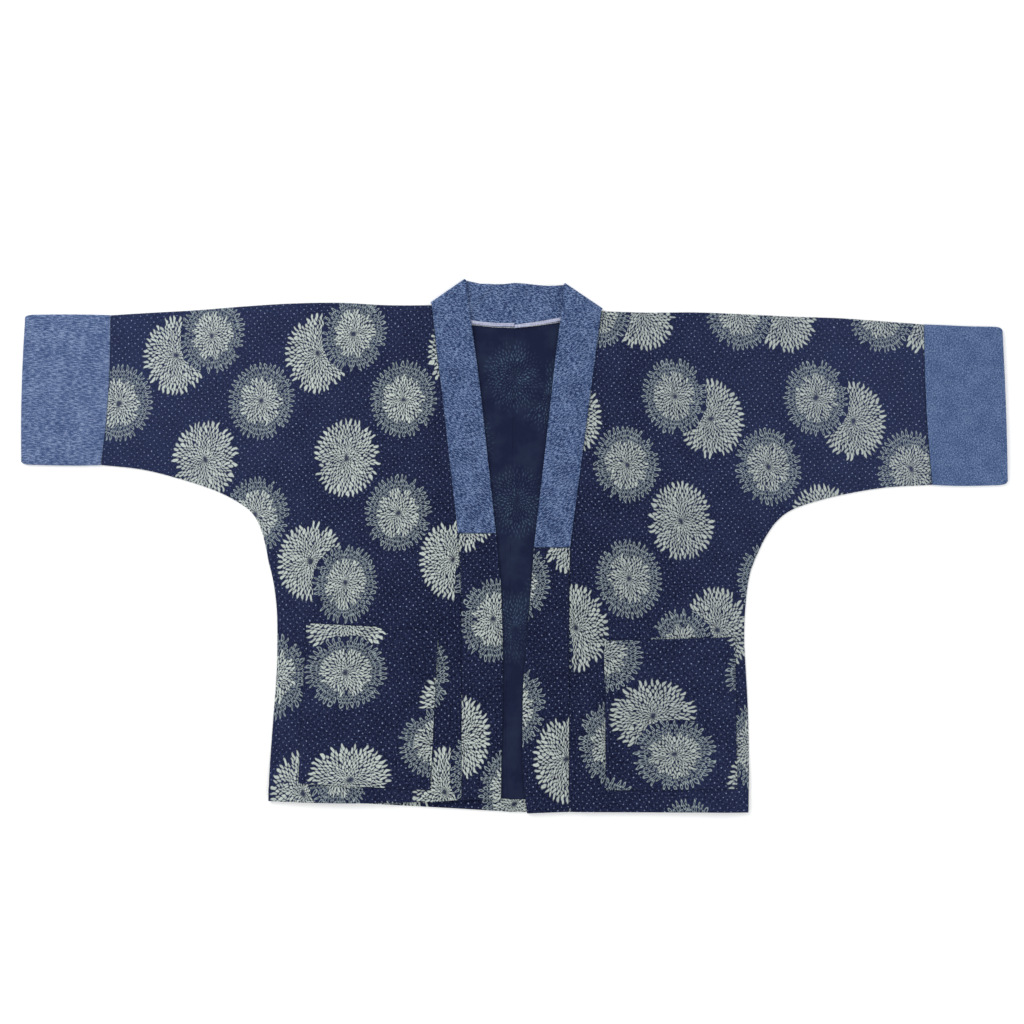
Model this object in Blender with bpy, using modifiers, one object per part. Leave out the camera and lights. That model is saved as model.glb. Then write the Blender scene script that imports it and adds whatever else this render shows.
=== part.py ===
"""Happi coat lying flat and face up, built from its cut and sewn pieces.

Metres, +Z up, +Y toward the collar. Right and left are the wearer's, so the
right half lies at negative X. The coat rests on Z = 0. Tables are in millimetres.
"""
import math

import bmesh
import bpy
from mathutils import Vector
from mathutils.bvhtree import BVHTree

MM = 0.001

# Cloth and the gaps between layers
CLOTH = 1.0
GAP = 0.3
CUFF_WALL = 1.4
CUFF_HOLLOW = 0.6
BAND_THICK = 2.2
COLLAR_THICK = 2.4
TAPE_THICK = 0.9
POCKET_CLEARANCE = 0.5

# Hems are turned up to the inside
HEM_DEPTH = 16.0
HEM_RADIUS = (CLOTH + GAP) / 2
HEM_TURNS = 3

# Heights of the middle of each layer
BACK_MID = CLOTH / 2
FRONT_MID = BACK_MID + CLOTH + GAP
FRONT_HEM_RISE = 2 * (CLOTH + GAP)
BAND_MID = CLOTH + GAP + BAND_THICK / 2
BAND_HEM_RISE = CLOTH + GAP
COLLAR_LOW = COLLAR_THICK / 2
COLLAR_HIGH = 5.3

# Air between the front and the back, and the wide soft waves of the cloth
PUFF = 1.6
PUFF_REACH = 34.0
WAVE = 0.7
CUFF_PUFF = 1.2

# Columns of a panel, from its shoulder or opening edge to its side seam
SPREAD = (0.0, 0.03, 0.08, 0.16, 0.27, 0.39, 0.51, 0.63, 0.75, 0.86, 0.94, 1.0)
PANEL_STEPS = 2
BAND_COLUMNS = 4
COLLAR_COLUMNS = 5
COLLAR_STEPS = 2
FOLD_TURNS = 6
CUFF_COLUMNS = 8
CUFF_TURNS = 4
POCKET_CELLS = 10

# Sections of the right sleeve, from the cuff seam to the neck point
# outer x, outer y, inner x, inner y, bow
ARM_RIGHT = (
    (-549.4, 313.9, -562.1, 109.9, 4.0),
    (-495.7, 317.2, -506.6, 103.9, 0.0),
    (-433.2, 320.7, -452.2, 90.3, 0.0),
    (-367.9, 325.9, -406.0, 74.8, 0.0),
    (-302.6, 329.9, -373.3, 57.8, 0.0),
    (-237.3, 330.8, -355.0, 42.2, 0.0),
    (-172.0, 327.5, -344.1, 20.4, 0.0),
    (-113.2, 327.5, -338.0, -2.7, 0.0),
)

# Sections of the right back, along the neckline and the centre seam to the hem
# outer x, outer y, inner x, inner y, bow
BACK_RIGHT = (
    (-87.7, 316.2, -335.0, -19.0, 0.0),
    (-57.8, 300.7, -331.7, -32.6, 0.0),
    (-29.2, 297.6, -328.4, -47.6, 0.0),
    (-0.4, 296.5, -325.4, -65.3, 0.0),
    (-1.8, 212.2, -323.5, -89.8, 0.0),
    (-3.1, 130.6, -322.7, -125.1, 0.0),
    (-5.3, 21.8, -323.0, -161.8, 0.0),
    (-8.3, -87.0, -325.4, -202.6, 0.0),
    (-11.3, -182.2, -328.7, -246.2, 0.0),
    (-12.4, -270.6, -332.5, -293.8, 0.0),
    (-8.8, -360.3, -334.7, -344.3, -1.3),
)

# Sections of the right front, along the collar and band seam to the hem
# outer x, outer y, inner x, inner y, bow
FRONT_RIGHT = (
    (-105.3, 259.8, -334.4, -21.8, 0.0),
    (-97.0, 189.0, -330.3, -38.1, 0.0),
    (-88.7, 118.3, -326.5, -58.5, 0.0),
    (-77.1, 17.7, -323.3, -89.8, 0.0),
    (-73.3, -46.2, -322.7, -127.8, 0.0),
    (-72.5, -111.5, -323.5, -168.6, 0.0),
    (-72.2, -176.8, -326.5, -212.2, 0.0),
    (-72.2, -236.6, -329.8, -254.3, 0.0),
    (-72.2, -293.8, -333.1, -301.9, 0.0),
    (-72.2, -343.6, -334.7, -345.6, 4.0),
)

# Sections of the left sleeve, from the cuff seam to the neck point
# outer x, outer y, inner x, inner y, bow
ARM_LEFT = (
    (556.9, 301.4, 568.1, 83.0, -3.0),
    (502.5, 305.5, 505.2, 79.4, 0.0),
    (442.7, 309.8, 449.5, 70.3, 0.0),
    (377.4, 312.0, 404.6, 59.0, 0.0),
    (312.1, 315.2, 374.7, 47.6, 0.0),
    (246.8, 317.7, 355.6, 32.0, 0.0),
    (181.6, 317.4, 341.4, 11.6, 0.0),
    (118.6, 319.3, 332.0, -7.5, 0.0),
)

# Sections of the left back, along the neckline and the centre seam to the hem
# outer x, outer y, inner x, inner y, bow
BACK_LEFT = (
    (89.1, 311.0, 325.7, -20.4, 0.0),
    (59.2, 303.8, 321.1, -34.0, 0.0),
    (29.2, 299.3, 317.8, -49.0, 0.0),
    (0.4, 296.5, 315.7, -66.6, 0.0),
    (-1.0, 212.2, 313.8, -91.1, 0.0),
    (-2.3, 130.6, 312.9, -127.8, 0.0),
    (-4.5, 21.8, 314.3, -160.5, 0.0),
    (-7.5, -87.0, 316.5, -195.8, 0.0),
    (-10.5, -182.2, 318.4, -236.6, 0.0),
    (-11.6, -270.6, 318.9, -297.8, 0.0),
    (-8.0, -360.8, 318.4, -359.2, 0.0),
)

# Sections of the left front, along the collar and band seam to the hem
# outer x, outer y, inner x, inner y, bow
FRONT_LEFT = (
    (109.1, 248.9, 325.7, -21.8, 0.0),
    (99.6, 178.2, 320.3, -38.1, 0.0),
    (90.0, 107.4, 316.5, -59.8, 0.0),
    (75.8, -1.4, 313.5, -93.8, 0.0),
    (74.7, -59.8, 312.7, -130.6, 0.0),
    (74.4, -122.4, 314.6, -165.9, 0.0),
    (74.4, -185.0, 317.0, -209.4, 0.0),
    (74.4, -244.8, 318.6, -257.0, 0.0),
    (74.4, -304.6, 318.9, -311.4, 0.0),
    (74.5, -360.6, 318.1, -361.4, 0.0),
)

# Rows of the collar's front parts, from the lower end up to the roll at the neck
# seam x, seam y, free x, free y, seam height, free height
COLLAR_RIGHT = (
    (-76.8, 17.3, -25.2, 17.3, 2.5, 2.7),
    (-84.3, 81.6, -32.2, 82.3, 2.5, 2.9),
    (-91.8, 146.9, -39.4, 147.6, 2.5, 2.7),
    (-99.1, 210.8, -46.6, 213.5, 2.5, 2.8),
    (-105.0, 261.1, -54.0, 269.3, 2.6, 3.4),
    (-108.7, 292.4, -58.3, 301.2, 3.0, 5.1),
    (-111.0, 312.8, -61.9, 330.5, 3.9, 5.3),
)
COLLAR_LEFT = (
    (75.5, -1.8, 26.5, -1.8, 2.5, 2.7),
    (84.2, 63.9, 34.1, 64.6, 2.5, 2.8),
    (92.9, 129.2, 41.8, 130.6, 2.5, 2.7),
    (101.6, 194.5, 49.2, 195.8, 2.5, 2.9),
    (109.3, 253.0, 56.0, 258.4, 2.6, 3.4),
    (113.3, 282.9, 61.1, 297.8, 3.0, 5.1),
    (116.0, 304.0, 65.1, 327.8, 3.9, 5.3),
)

# Rows of the collar behind the neck, from the roll to the centre seam
# seam x, seam y, free x, free y
NAPE_RIGHT = (
    (-112.7, 328.4, -65.6, 361.0),
    (-87.7, 317.0, -46.9, 356.9),
    (-57.8, 301.6, -29.2, 356.0),
    (-29.2, 298.4, -14.3, 356.3),
    (-0.4, 297.4, -0.4, 357.1),
)
NAPE_LEFT = (
    (118.2, 320.3, 66.9, 355.0),
    (89.1, 312.0, 46.9, 353.3),
    (59.2, 304.8, 29.2, 355.2),
    (29.2, 300.3, 14.3, 356.9),
    (0.4, 297.4, 0.4, 357.1),
)

# Rows of the printed bands below the collar
# seam x, seam y, free x, free y
BAND_RIGHT = (
    (-76.6, 16.9, -24.9, 16.9),
    (-73.0, -46.2, -19.0, -46.2),
    (-72.1, -111.5, -16.6, -111.5),
    (-71.9, -176.8, -15.6, -176.8),
    (-71.9, -236.6, -16.4, -236.6),
    (-71.9, -293.8, -17.8, -293.8),
    (-71.9, -344.6, -18.4, -345.2),
)
BAND_LEFT = (
    (75.5, -2.3, 26.5, -2.3),
    (74.4, -59.8, 22.3, -59.8),
    (74.1, -122.4, 17.4, -122.4),
    (74.1, -185.0, 12.0, -185.0),
    (74.1, -244.8, 11.0, -244.8),
    (74.1, -304.6, 11.2, -304.6),
    (74.1, -361.5, 17.0, -363.7),
)

# Sections of the cuffs, from the sleeve seam to the open end
# top x, top y, bottom x, bottom y, bow
CUFF_RIGHT = (
    (-549.8, 313.9, -562.5, 109.9, 4.0),
    (-577.3, 314.7, -590.9, 109.3, 1.0),
    (-615.4, 315.0, -623.6, 109.6, 0.0),
    (-642.6, 314.7, -648.0, 110.2, -1.0),
    (-657.6, 314.3, -662.3, 110.7, -1.8),
    (-663.9, 312.8, -669.0, 112.6, -2.0),
    (-665.3, 310.1, -670.6, 114.9, -2.0),
)
CUFF_LEFT = (
    (557.3, 301.4, 568.5, 83.0, -3.0),
    (585.5, 300.3, 592.3, 81.9, -1.0),
    (616.8, 298.9, 619.5, 81.7, 0.0),
    (639.9, 298.4, 646.7, 82.3, 0.6),
    (656.2, 297.8, 661.6, 83.0, 1.0),
    (661.6, 295.9, 668.4, 84.9, 1.0),
    (663.4, 293.1, 670.6, 88.4, 1.0),
)

# Corners of the patch pockets, clockwise from the upper corner at the lower X
POCKET_RIGHT = ((-282.9, -105.1), (-103.6, -114.2), (-114.6, -331.6), (-293.9, -322.5))
POCKET_LEFT = ((121.7, -129.2), (299.9, -123.8), (302.6, -329.9), (124.4, -331.8))

# Tape along the neck seam, on the inner face of the collar
# seam x, seam y, free x, free y
TAPE_RIGHT = (
    (-71.4, 309.8, -71.4, 314.4),
    (-57.8, 302.5, -57.8, 307.1),
    (-29.2, 299.1, -29.2, 303.7),
    (-0.8, 298.1, -0.8, 302.7),
)
TAPE_LEFT = (
    (72.8, 308.7, 72.8, 313.3),
    (59.2, 305.6, 59.2, 310.2),
    (29.2, 301.1, 29.2, 305.7),
    (0.8, 298.4, 0.8, 303.0),
)

# Largest soft folds of the fronts and sleeves
# start x, start y, end x, end y, height, width
FOLDS = (
    (-338.0, 98.0, -262.0, 236.0, 4.6, 17.0),
    (-322.0, 62.0, -218.0, 196.0, 4.0, 19.0),
    (-330.0, -20.0, -262.0, 60.0, 2.2, 22.0),
    (-520.0, 130.0, -440.0, 250.0, 1.8, 26.0),
    (262.0, 88.0, 345.0, 98.0, 3.0, 12.0),
    (250.0, 48.0, 330.0, 60.0, 3.2, 14.0),
    (210.0, 120.0, 118.0, 26.0, 2.6, 22.0),
    (500.0, 110.0, 430.0, 230.0, 1.8, 26.0),
)

# The right front's hem stands a little off the back beside the band
LIFT_HEIGHT = 5.0
LIFT_X = -95.0
LIFT_WIDTH = 26.0
LIFT_TOP = -292.0
LIFT_REACH = 50.0

INDIGO = ((0.018, 0.022, 0.075, 1.0), 0.92)
CHAMBRAY = ((0.075, 0.135, 0.31, 1.0), 0.9)
PALE_TAPE = ((0.42, 0.43, 0.55, 1.0), 0.88)


def clear_scene():
    """Remove what the scene holds."""
    for old in list(bpy.data.objects):
        bpy.data.objects.remove(old, do_unlink=True)


def make_material(name, look):
    """Return a plain cloth material."""
    colour, roughness = look
    material = bpy.data.materials.new(name)
    material.use_nodes = True
    shader = material.node_tree.nodes["Principled BSDF"]
    shader.inputs["Base Color"].default_value = colour
    shader.inputs["Roughness"].default_value = roughness
    shader.inputs["Metallic"].default_value = 0.0
    return material


def ease(value):
    """Return a smooth step from 0 to 1."""
    value = min(max(value, 0.0), 1.0)
    return value * value * (3.0 - 2.0 * value)


def blend(first, second, share):
    """Return the point a share of the way from the first to the second."""
    return tuple(a + (b - a) * share for a, b in zip(first, second))


def spline(points, corners, steps):
    """Return a smooth path through the points that keeps its corners."""
    path = []
    last = len(points) - 1
    for index in range(last):
        start = points[index]
        end = points[index + 1]
        before = start if index == 0 or index in corners else points[index - 1]
        after = end if index + 1 == last or index + 1 in corners else points[index + 2]
        for step in range(steps):
            share = step / steps
            path.append(tuple(
                0.5 * (
                    2 * b
                    + (c - a) * share
                    + (2 * a - 5 * b + 4 * c - d) * share ** 2
                    + (3 * b - a - 3 * c + d) * share ** 3
                )
                for a, b, c, d in zip(before, start, end, after)
            ))
    path.append(points[last])
    return path


def section_paths(arm, body, corners):
    """Return the outer points, inner points and bows of all sections."""
    rows = arm + body
    outer = spline([row[0:2] for row in rows], corners, PANEL_STEPS)
    inner = spline([row[2:5] for row in rows], (), PANEL_STEPS)
    return outer, [row[0:2] for row in inner], [row[2] for row in inner]


def section(outer, inner, bow, shares):
    """Return the points of one section and their distance from its nearer end."""
    along = Vector(inner) - Vector(outer)
    across = Vector((-along.y, along.x)).normalized()
    points = []
    for share in shares:
        point = Vector(outer) + along * share + across * (bow * 4.0 * share * (1.0 - share))
        edge = min(share, 1.0 - share) * along.length
        points.append((point.x, point.y, edge))
    return points


def fold_height(x, y):
    """Return the height of the large folds at a point of the fronts."""
    total = 0.0
    for start_x, start_y, end_x, end_y, height, width in FOLDS:
        along = Vector((end_x - start_x, end_y - start_y))
        offset = Vector((x - start_x, y - start_y))
        share = offset.dot(along) / along.length_squared
        side = abs(offset.x * along.y - offset.y * along.x) / along.length
        fade = ease(share / 0.2) * ease((1.0 - share) / 0.45)
        total += height * fade * math.exp(-(side / width) ** 2)
    return total


def hem_lift(x, y):
    """Return how far the right front's hem stands off the back."""
    across = math.exp(-((x - LIFT_X) / LIFT_WIDTH) ** 2)
    return LIFT_HEIGHT * across * ease((LIFT_TOP - y) / LIFT_REACH)


def front_height(x, y, edge):
    """Return the middle height of the front layer."""
    wave = WAVE * math.sin(x / 41.0 + 0.7) * math.sin(y / 55.0 + 1.9)
    loft = PUFF + wave + fold_height(x, y)
    hem = FRONT_HEM_RISE * ease((-272.0 - y) / 50.0)
    return FRONT_MID + hem + hem_lift(x, y) + ease(edge / PUFF_REACH) * max(loft, 0.0)


def back_height(x, y, edge):
    """Return the middle height of the back, which lies flat."""
    return BACK_MID


def band_height(x, y):
    """Return the middle height of the printed bands."""
    return BAND_MID + BAND_HEM_RISE * ease((-298.0 - y) / 38.0) + hem_lift(x, y)


def panel_rows(arm, body, corners, height, turn):
    """Return the rows of a panel with its hem turned up; turn is +1 up or -1 down."""
    outer, inner, bows = section_paths(arm, body, corners)
    rows = []
    for outer_point, inner_point, bow in zip(outer, inner, bows):
        points = section(outer_point, inner_point, bow, SPREAD)
        rows.append([(x, y, height(x, y, edge)) for x, y, edge in points])
    hem = section(outer[-1], inner[-1], bows[-1], SPREAD)
    for step in range(1, HEM_TURNS + 1):
        angle = math.pi * step / HEM_TURNS
        out = HEM_RADIUS * math.sin(angle)
        up = turn * HEM_RADIUS * (1.0 - math.cos(angle))
        rows.append([(x, y - out, height(x, y, edge) + up) for x, y, edge in hem])
    for depth in (HEM_DEPTH / 2, HEM_DEPTH):
        rows.append([
            (x, y + depth, height(x, y + depth, edge) + turn * 2 * HEM_RADIUS)
            for x, y, edge in hem
        ])
    return rows


def band_rows(table):
    """Return the rows of a printed band."""
    seam = spline([row[0:2] for row in table], (), 2)
    free = spline([row[2:4] for row in table], (), 2)
    rows = []
    for seam_point, free_point in zip(seam, free):
        row = []
        for column in range(BAND_COLUMNS + 1):
            x, y = blend(seam_point, free_point, column / BAND_COLUMNS)
            row.append((x, y, band_height(x, y)))
        rows.append(row)
    return rows


def collar_rows(front, nape):
    """Return the rows of half a collar: front part, roll at the neck, nape."""
    seam = spline([(row[0], row[1], row[4]) for row in front], (), COLLAR_STEPS)
    free = spline([(row[2], row[3], row[5]) for row in front], (), COLLAR_STEPS)
    ends = list(zip(seam, free))
    seam_end = Vector(nape[0][0:2])
    free_end = Vector(nape[0][2:4])
    along = (free_end - seam_end).normalized()
    outward = Vector((along.y, -along.x))
    if outward.y < 0:
        outward = -outward
    radius = (COLLAR_HIGH - COLLAR_LOW) / 2
    for step in range(FOLD_TURNS + 1):
        angle = math.pi * step / FOLD_TURNS
        shift = outward * (radius * math.sin(angle))
        height = COLLAR_LOW + radius * (1.0 + math.cos(angle))
        ends.append(((*(seam_end + shift), height), (*(free_end + shift), height)))
    for row in nape[1:]:
        ends.append(((row[0], row[1], COLLAR_LOW), (row[2], row[3], COLLAR_LOW)))
    columns = [column / COLLAR_COLUMNS for column in range(COLLAR_COLUMNS + 1)]
    return [[blend(start, end, share) for share in columns] for start, end in ends]


def cuff_rows(table):
    """Return the closed rings of a flattened cuff."""
    radius = (CUFF_WALL + CUFF_HOLLOW) / 2
    middle = CUFF_WALL / 2 + radius
    inset = radius + CUFF_WALL / 2
    top_line = spline([(row[0], row[1], row[4]) for row in table], (), 1)
    rows = []
    for (top_x, top_y, bow), row in zip(top_line, table):
        top = Vector((top_x, top_y))
        bottom = Vector(row[2:4])
        along = (bottom - top).normalized()
        across = Vector((-along.y, along.x))
        top += along * inset
        bottom -= along * inset
        ring = []
        for column in range(CUFF_COLUMNS + 1):
            share = column / CUFF_COLUMNS
            bulge = 4.0 * share * (1.0 - share)
            point = top.lerp(bottom, share) + across * (bow * bulge)
            ring.append((point.x, point.y, middle + radius + CUFF_PUFF * math.sqrt(bulge)))
        for step in range(1, CUFF_TURNS):
            angle = math.pi * step / CUFF_TURNS
            point = bottom + along * (radius * math.sin(angle))
            ring.append((point.x, point.y, middle + radius * math.cos(angle)))
        for column in range(CUFF_COLUMNS + 1):
            share = 1.0 - column / CUFF_COLUMNS
            point = top.lerp(bottom, share) + across * (bow * 4.0 * share * (1.0 - share))
            ring.append((point.x, point.y, middle - radius))
        for step in range(1, CUFF_TURNS):
            angle = math.pi * step / CUFF_TURNS
            point = top - along * (radius * math.sin(angle))
            ring.append((point.x, point.y, middle - radius * math.cos(angle)))
        ring.append(ring[0])
        rows.append(ring)
    return rows


def tape_rows(table):
    """Return the rows of the tape on the collar's inner face."""
    height = COLLAR_THICK + GAP + TAPE_THICK / 2
    return [[(row[0], row[1], height), (row[2], row[3], height)] for row in table]


def pocket_rows(corners, panel):
    """Return the rows of a patch pocket, laid on the points of its panel."""
    upper_left, upper_right, lower_right, lower_left = corners
    surface = BVHTree.FromPolygons(*panel)
    cells = POCKET_CELLS
    rows = []
    for row in range(cells + 1):
        left = blend(upper_left, lower_left, row / cells)
        right = blend(upper_right, lower_right, row / cells)
        points = []
        for column in range(cells + 1):
            x, y = blend(left, right, column / cells)
            hit = surface.ray_cast(Vector((x, y, 100.0)), Vector((0.0, 0.0, -1.0)))[0]
            points.append((x, y, hit.z + CLOTH + POCKET_CLEARANCE))
        rows.append(points)
    return rows


def panel_surface(rows):
    """Return the points and faces of a panel's middle surface."""
    width = len(rows[0])
    points = [Vector(point) for row in rows for point in row]
    faces = []
    for row in range(len(rows) - 1):
        for column in range(width - 1):
            first = row * width + column
            faces.append((first, first + 1, first + width + 1, first + width))
    return points, faces


def make_cloth(name, rows, thickness, material, collection):
    """Make a closed solid from the rows of its middle surface."""
    long_way = len(rows) - 1
    wide_way = len(rows[0]) - 1
    mesh = bpy.data.meshes.new(name)
    grid = bmesh.new()
    bmesh.ops.create_grid(grid, x_segments=long_way, y_segments=wide_way, size=0.5)
    for vertex in grid.verts:
        row = round((vertex.co.x + 0.5) * long_way)
        column = round((vertex.co.y + 0.5) * wide_way)
        vertex.co = Vector(rows[row][column]) * MM
    bmesh.ops.remove_doubles(grid, verts=grid.verts, dist=0.00001)
    for face in grid.faces:
        face.smooth = True
    grid.to_mesh(mesh)
    grid.free()
    mesh.materials.append(material)
    piece = bpy.data.objects.new(name, mesh)
    collection.objects.link(piece)
    wall = piece.modifiers.new("Wall", "SOLIDIFY")
    wall.thickness = thickness * MM
    wall.offset = 0.0
    wall.use_even_offset = True
    wall.use_quality_normals = True
    return piece


def build():
    """Build every piece of the coat."""
    clear_scene()
    coat = bpy.data.collections.new("happi_coat")
    bpy.context.scene.collection.children.link(coat)
    indigo = make_material("indigo_print_cotton", INDIGO)
    chambray = make_material("blue_chambray", CHAMBRAY)
    pale = make_material("pale_cotton_tape", PALE_TAPE)
    neck = len(ARM_RIGHT) - 1
    back_corners = (neck, neck + 1, neck + 2, neck + 3, neck + 4)
    front_corners = (neck, neck + 4)

    back_right = panel_rows(ARM_RIGHT, BACK_RIGHT, back_corners, back_height, 1)
    back_left = panel_rows(ARM_LEFT, BACK_LEFT, back_corners, back_height, 1)
    front_right = panel_rows(ARM_RIGHT, FRONT_RIGHT, front_corners, front_height, -1)
    front_left = panel_rows(ARM_LEFT, FRONT_LEFT, front_corners, front_height, -1)
    make_cloth("back_right", back_right, CLOTH, indigo, coat)
    make_cloth("back_left", back_left, CLOTH, indigo, coat)
    make_cloth("front_right", front_right, CLOTH, indigo, coat)
    make_cloth("front_left", front_left, CLOTH, indigo, coat)

    make_cloth("cuff_right", cuff_rows(CUFF_RIGHT), CUFF_WALL, chambray, coat)
    make_cloth("cuff_left", cuff_rows(CUFF_LEFT), CUFF_WALL, chambray, coat)
    collar_right = collar_rows(COLLAR_RIGHT, NAPE_RIGHT)
    collar_left = collar_rows(COLLAR_LEFT, NAPE_LEFT)
    make_cloth("collar_right", collar_right, COLLAR_THICK, chambray, coat)
    make_cloth("collar_left", collar_left, COLLAR_THICK, chambray, coat)
    make_cloth("neck_tape_right", tape_rows(TAPE_RIGHT), TAPE_THICK, pale, coat)
    make_cloth("neck_tape_left", tape_rows(TAPE_LEFT), TAPE_THICK, pale, coat)

    make_cloth("band_right", band_rows(BAND_RIGHT), BAND_THICK, indigo, coat)
    make_cloth("band_left", band_rows(BAND_LEFT), BAND_THICK, indigo, coat)
    hem_rows = HEM_TURNS + 2
    right_panel = panel_surface(front_right[:-hem_rows])
    left_panel = panel_surface(front_left[:-hem_rows])
    pocket_right = pocket_rows(POCKET_RIGHT, right_panel)
    pocket_left = pocket_rows(POCKET_LEFT, left_panel)
    make_cloth("pocket_right", pocket_right, CLOTH, indigo, coat)
    make_cloth("pocket_left", pocket_left, CLOTH, indigo, coat)


build()
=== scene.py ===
"""Happi coat laid out flat, face up: printed cotton body, chambray collar and cuffs.

Metres, +Z up, +Y toward the collar. Right and left are the wearer's, so the
right half lies at negative X. Tables are in millimetres.
"""
import math

import bmesh
import bpy
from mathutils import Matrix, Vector, noise
from mathutils.bvhtree import BVHTree


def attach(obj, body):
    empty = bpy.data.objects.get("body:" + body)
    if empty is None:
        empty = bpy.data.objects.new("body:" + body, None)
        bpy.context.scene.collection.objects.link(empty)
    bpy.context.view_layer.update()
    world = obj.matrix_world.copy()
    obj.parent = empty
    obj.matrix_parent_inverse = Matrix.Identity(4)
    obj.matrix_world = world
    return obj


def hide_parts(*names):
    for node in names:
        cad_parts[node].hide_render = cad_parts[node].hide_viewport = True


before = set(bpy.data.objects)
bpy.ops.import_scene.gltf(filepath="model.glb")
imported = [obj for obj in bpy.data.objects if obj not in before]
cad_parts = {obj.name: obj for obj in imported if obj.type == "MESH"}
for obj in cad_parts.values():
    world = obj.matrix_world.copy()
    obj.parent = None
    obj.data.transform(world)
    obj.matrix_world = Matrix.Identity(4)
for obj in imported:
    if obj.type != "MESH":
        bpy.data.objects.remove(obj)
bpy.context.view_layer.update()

MM = 0.001

# Cloth and the gaps between layers
CLOTH = 1.0
GAP = 0.3
CUFF_WALL = 1.4
CUFF_HOLLOW = 0.6
BAND_THICK = 2.2
COLLAR_THICK = 2.4
TAPE_THICK = 0.9
POCKET_CLEARANCE = 0.35
# Rounding of raw and turned edges, of folded edges, and of cuffs and tape
EDGE_ROUND = 0.42
FOLD_ROUND = 1.0
CUFF_ROUND = 0.55
TAPE_ROUND = 0.3
# Edges sharper than this are rounded, in degrees
ROUNDED_ANGLE = 50.0

# Hems are turned up to the inside
HEM_DEPTH = 16.0
HEM_RADIUS = (CLOTH + GAP) / 2
HEM_TURNS = 6
# Rows of a turned-up hem, from its fold to its raw edge
HEM_ROWS = (2.0, 5.0, 9.0, 13.0, HEM_DEPTH)

# Heights of the middle of each layer
BACK_MID = CLOTH / 2
FRONT_MID = BACK_MID + CLOTH + GAP
BAND_MID = CLOTH + GAP + BAND_THICK / 2
COLLAR_LOW = COLLAR_THICK / 2
COLLAR_HIGH = 5.3

# The fronts and the bands rise over the turned-up hems under them
# height gained, y where the rise starts, distance down to its full height
FRONT_RISE = (2 * (CLOTH + GAP), -272.0, 50.0)
BAND_RISE = (CLOTH + GAP, -298.0, 38.0)

# The collar's halves cross at the centre seam and tuck under each other
NAPE_STEPS = 6
NAPE_OVERLAP = 1.2
NAPE_TUCK = 0.3
# Slope of the collar's threads down to the right, in degrees, in front and behind the neck
COLLAR_SLOPE = 28.0
NAPE_SLOPE = 16.0

# Air between the front and the back, and the soft waves of the cloth
PUFF = 1.6
PUFF_REACH = 34.0
LEAST_PUFF = 0.2
CUFF_PUFF = 1.2
WAVE = 0.7
# length and start of the waves across and down the coat
WAVE_ACROSS = (41.0, 0.7)
WAVE_DOWN = (55.0, 1.9)

# Crumple of handled cotton: size of the waves, their height, shift of their noise
CRUMPLES = ((46.0, 0.42, 0.0), (17.0, 0.16, 7.3))
# Where each piece reads that noise
SEEDS = {
    "front": 1.0,
    "band": 4.0,
    "pocket": 9.0,
    "cuff_right": 12.0,
    "cuff_left": 15.0,
    "collar_right": 21.0,
    "collar_left": 24.0,
}
# Shares of a fold's length over which it rises and dies away
FOLD_START = 0.2
FOLD_END = 0.45

# Swell, even loft and share of the crumple on the bands and the collar
BAND_CROWN = 0.3
BAND_LOFT = 0.35
BAND_CRUMPLE = 0.5
COLLAR_CROWN = 0.35
COLLAR_LOFT = 0.35
COLLAR_CRUMPLE = 0.8

# Ridge of the turnings on a cuff: height, distance from the seam, width
CUFF_RIDGE = (0.35, 5.0, 3.0)
# How fast the crumple and the ridge come up from a cuff's folded edges
CUFF_CRUMPLE_START = 3.0
CUFF_RIDGE_START = 6.0

# The front rolls over the shoulder and side seams and hides the back's edge
# distance from the edge when flat, distance when rolled, drop
ROLL = (
    (0.0, 0.5, 1.2),
    (0.5, 0.56, 0.8),
    (1.0, 0.9, 0.3),
    (1.9, 1.8, 0.0),
)
BACK_INSET = 1.4
# The roll starts at the neck point and ends a little above the hem
NECK_ROLL_REACH = 16.0
HEM_ROLL_START = 8.0
HEM_ROLL_REACH = 26.0

# Fineness of the pieces
FRONT_STEPS = 12
FRONT_COLUMNS = 54
BACK_STEPS = 6
BACK_COLUMNS = 18
BAND_STEPS = 14
BAND_COLUMNS = 10
COLLAR_STEPS = 12
COLLAR_COLUMNS = 12
FOLD_TURNS = 12
CUFF_STEPS = 5
CUFF_COLUMNS = 40
CUFF_TURNS = 6
TAPE_STEPS = 8
TAPE_SHARES = (0.0, 0.35, 0.65, 1.0)

# Sections of the right sleeve, from the cuff seam to the neck point
# outer x, outer y, inner x, inner y, bow
ARM_RIGHT = (
    (-549.4, 313.9, -562.1, 109.9, 4.0),
    (-495.7, 317.2, -506.6, 103.9, 0.0),
    (-433.2, 320.7, -452.2, 90.3, 0.0),
    (-367.9, 325.9, -406.0, 74.8, 0.0),
    (-302.6, 329.9, -373.3, 57.8, 0.0),
    (-237.3, 330.8, -355.0, 42.2, 0.0),
    (-172.0, 327.5, -344.1, 20.4, 0.0),
    (-113.2, 327.5, -338.0, -2.7, 0.0),
)

# Sections of the right back, along the neckline and the centre seam to the hem
# outer x, outer y, inner x, inner y, bow
BACK_RIGHT = (
    (-87.7, 316.2, -335.0, -19.0, 0.0),
    (-57.8, 300.7, -331.7, -32.6, 0.0),
    (-29.2, 297.6, -328.4, -47.6, 0.0),
    (0.1, 296.5, -325.4, -65.3, 0.0),
    (-1.25, 212.2, -323.5, -89.8, 0.0),
    (-2.55, 130.6, -322.7, -125.1, 0.0),
    (-4.75, 21.8, -323.0, -161.8, 0.0),
    (-7.75, -87.0, -325.4, -202.6, 0.0),
    (-10.75, -182.2, -328.7, -246.2, 0.0),
    (-11.85, -270.6, -332.5, -293.8, 0.0),
    (-8.25, -360.3, -334.7, -344.3, -1.3),
)

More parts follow.
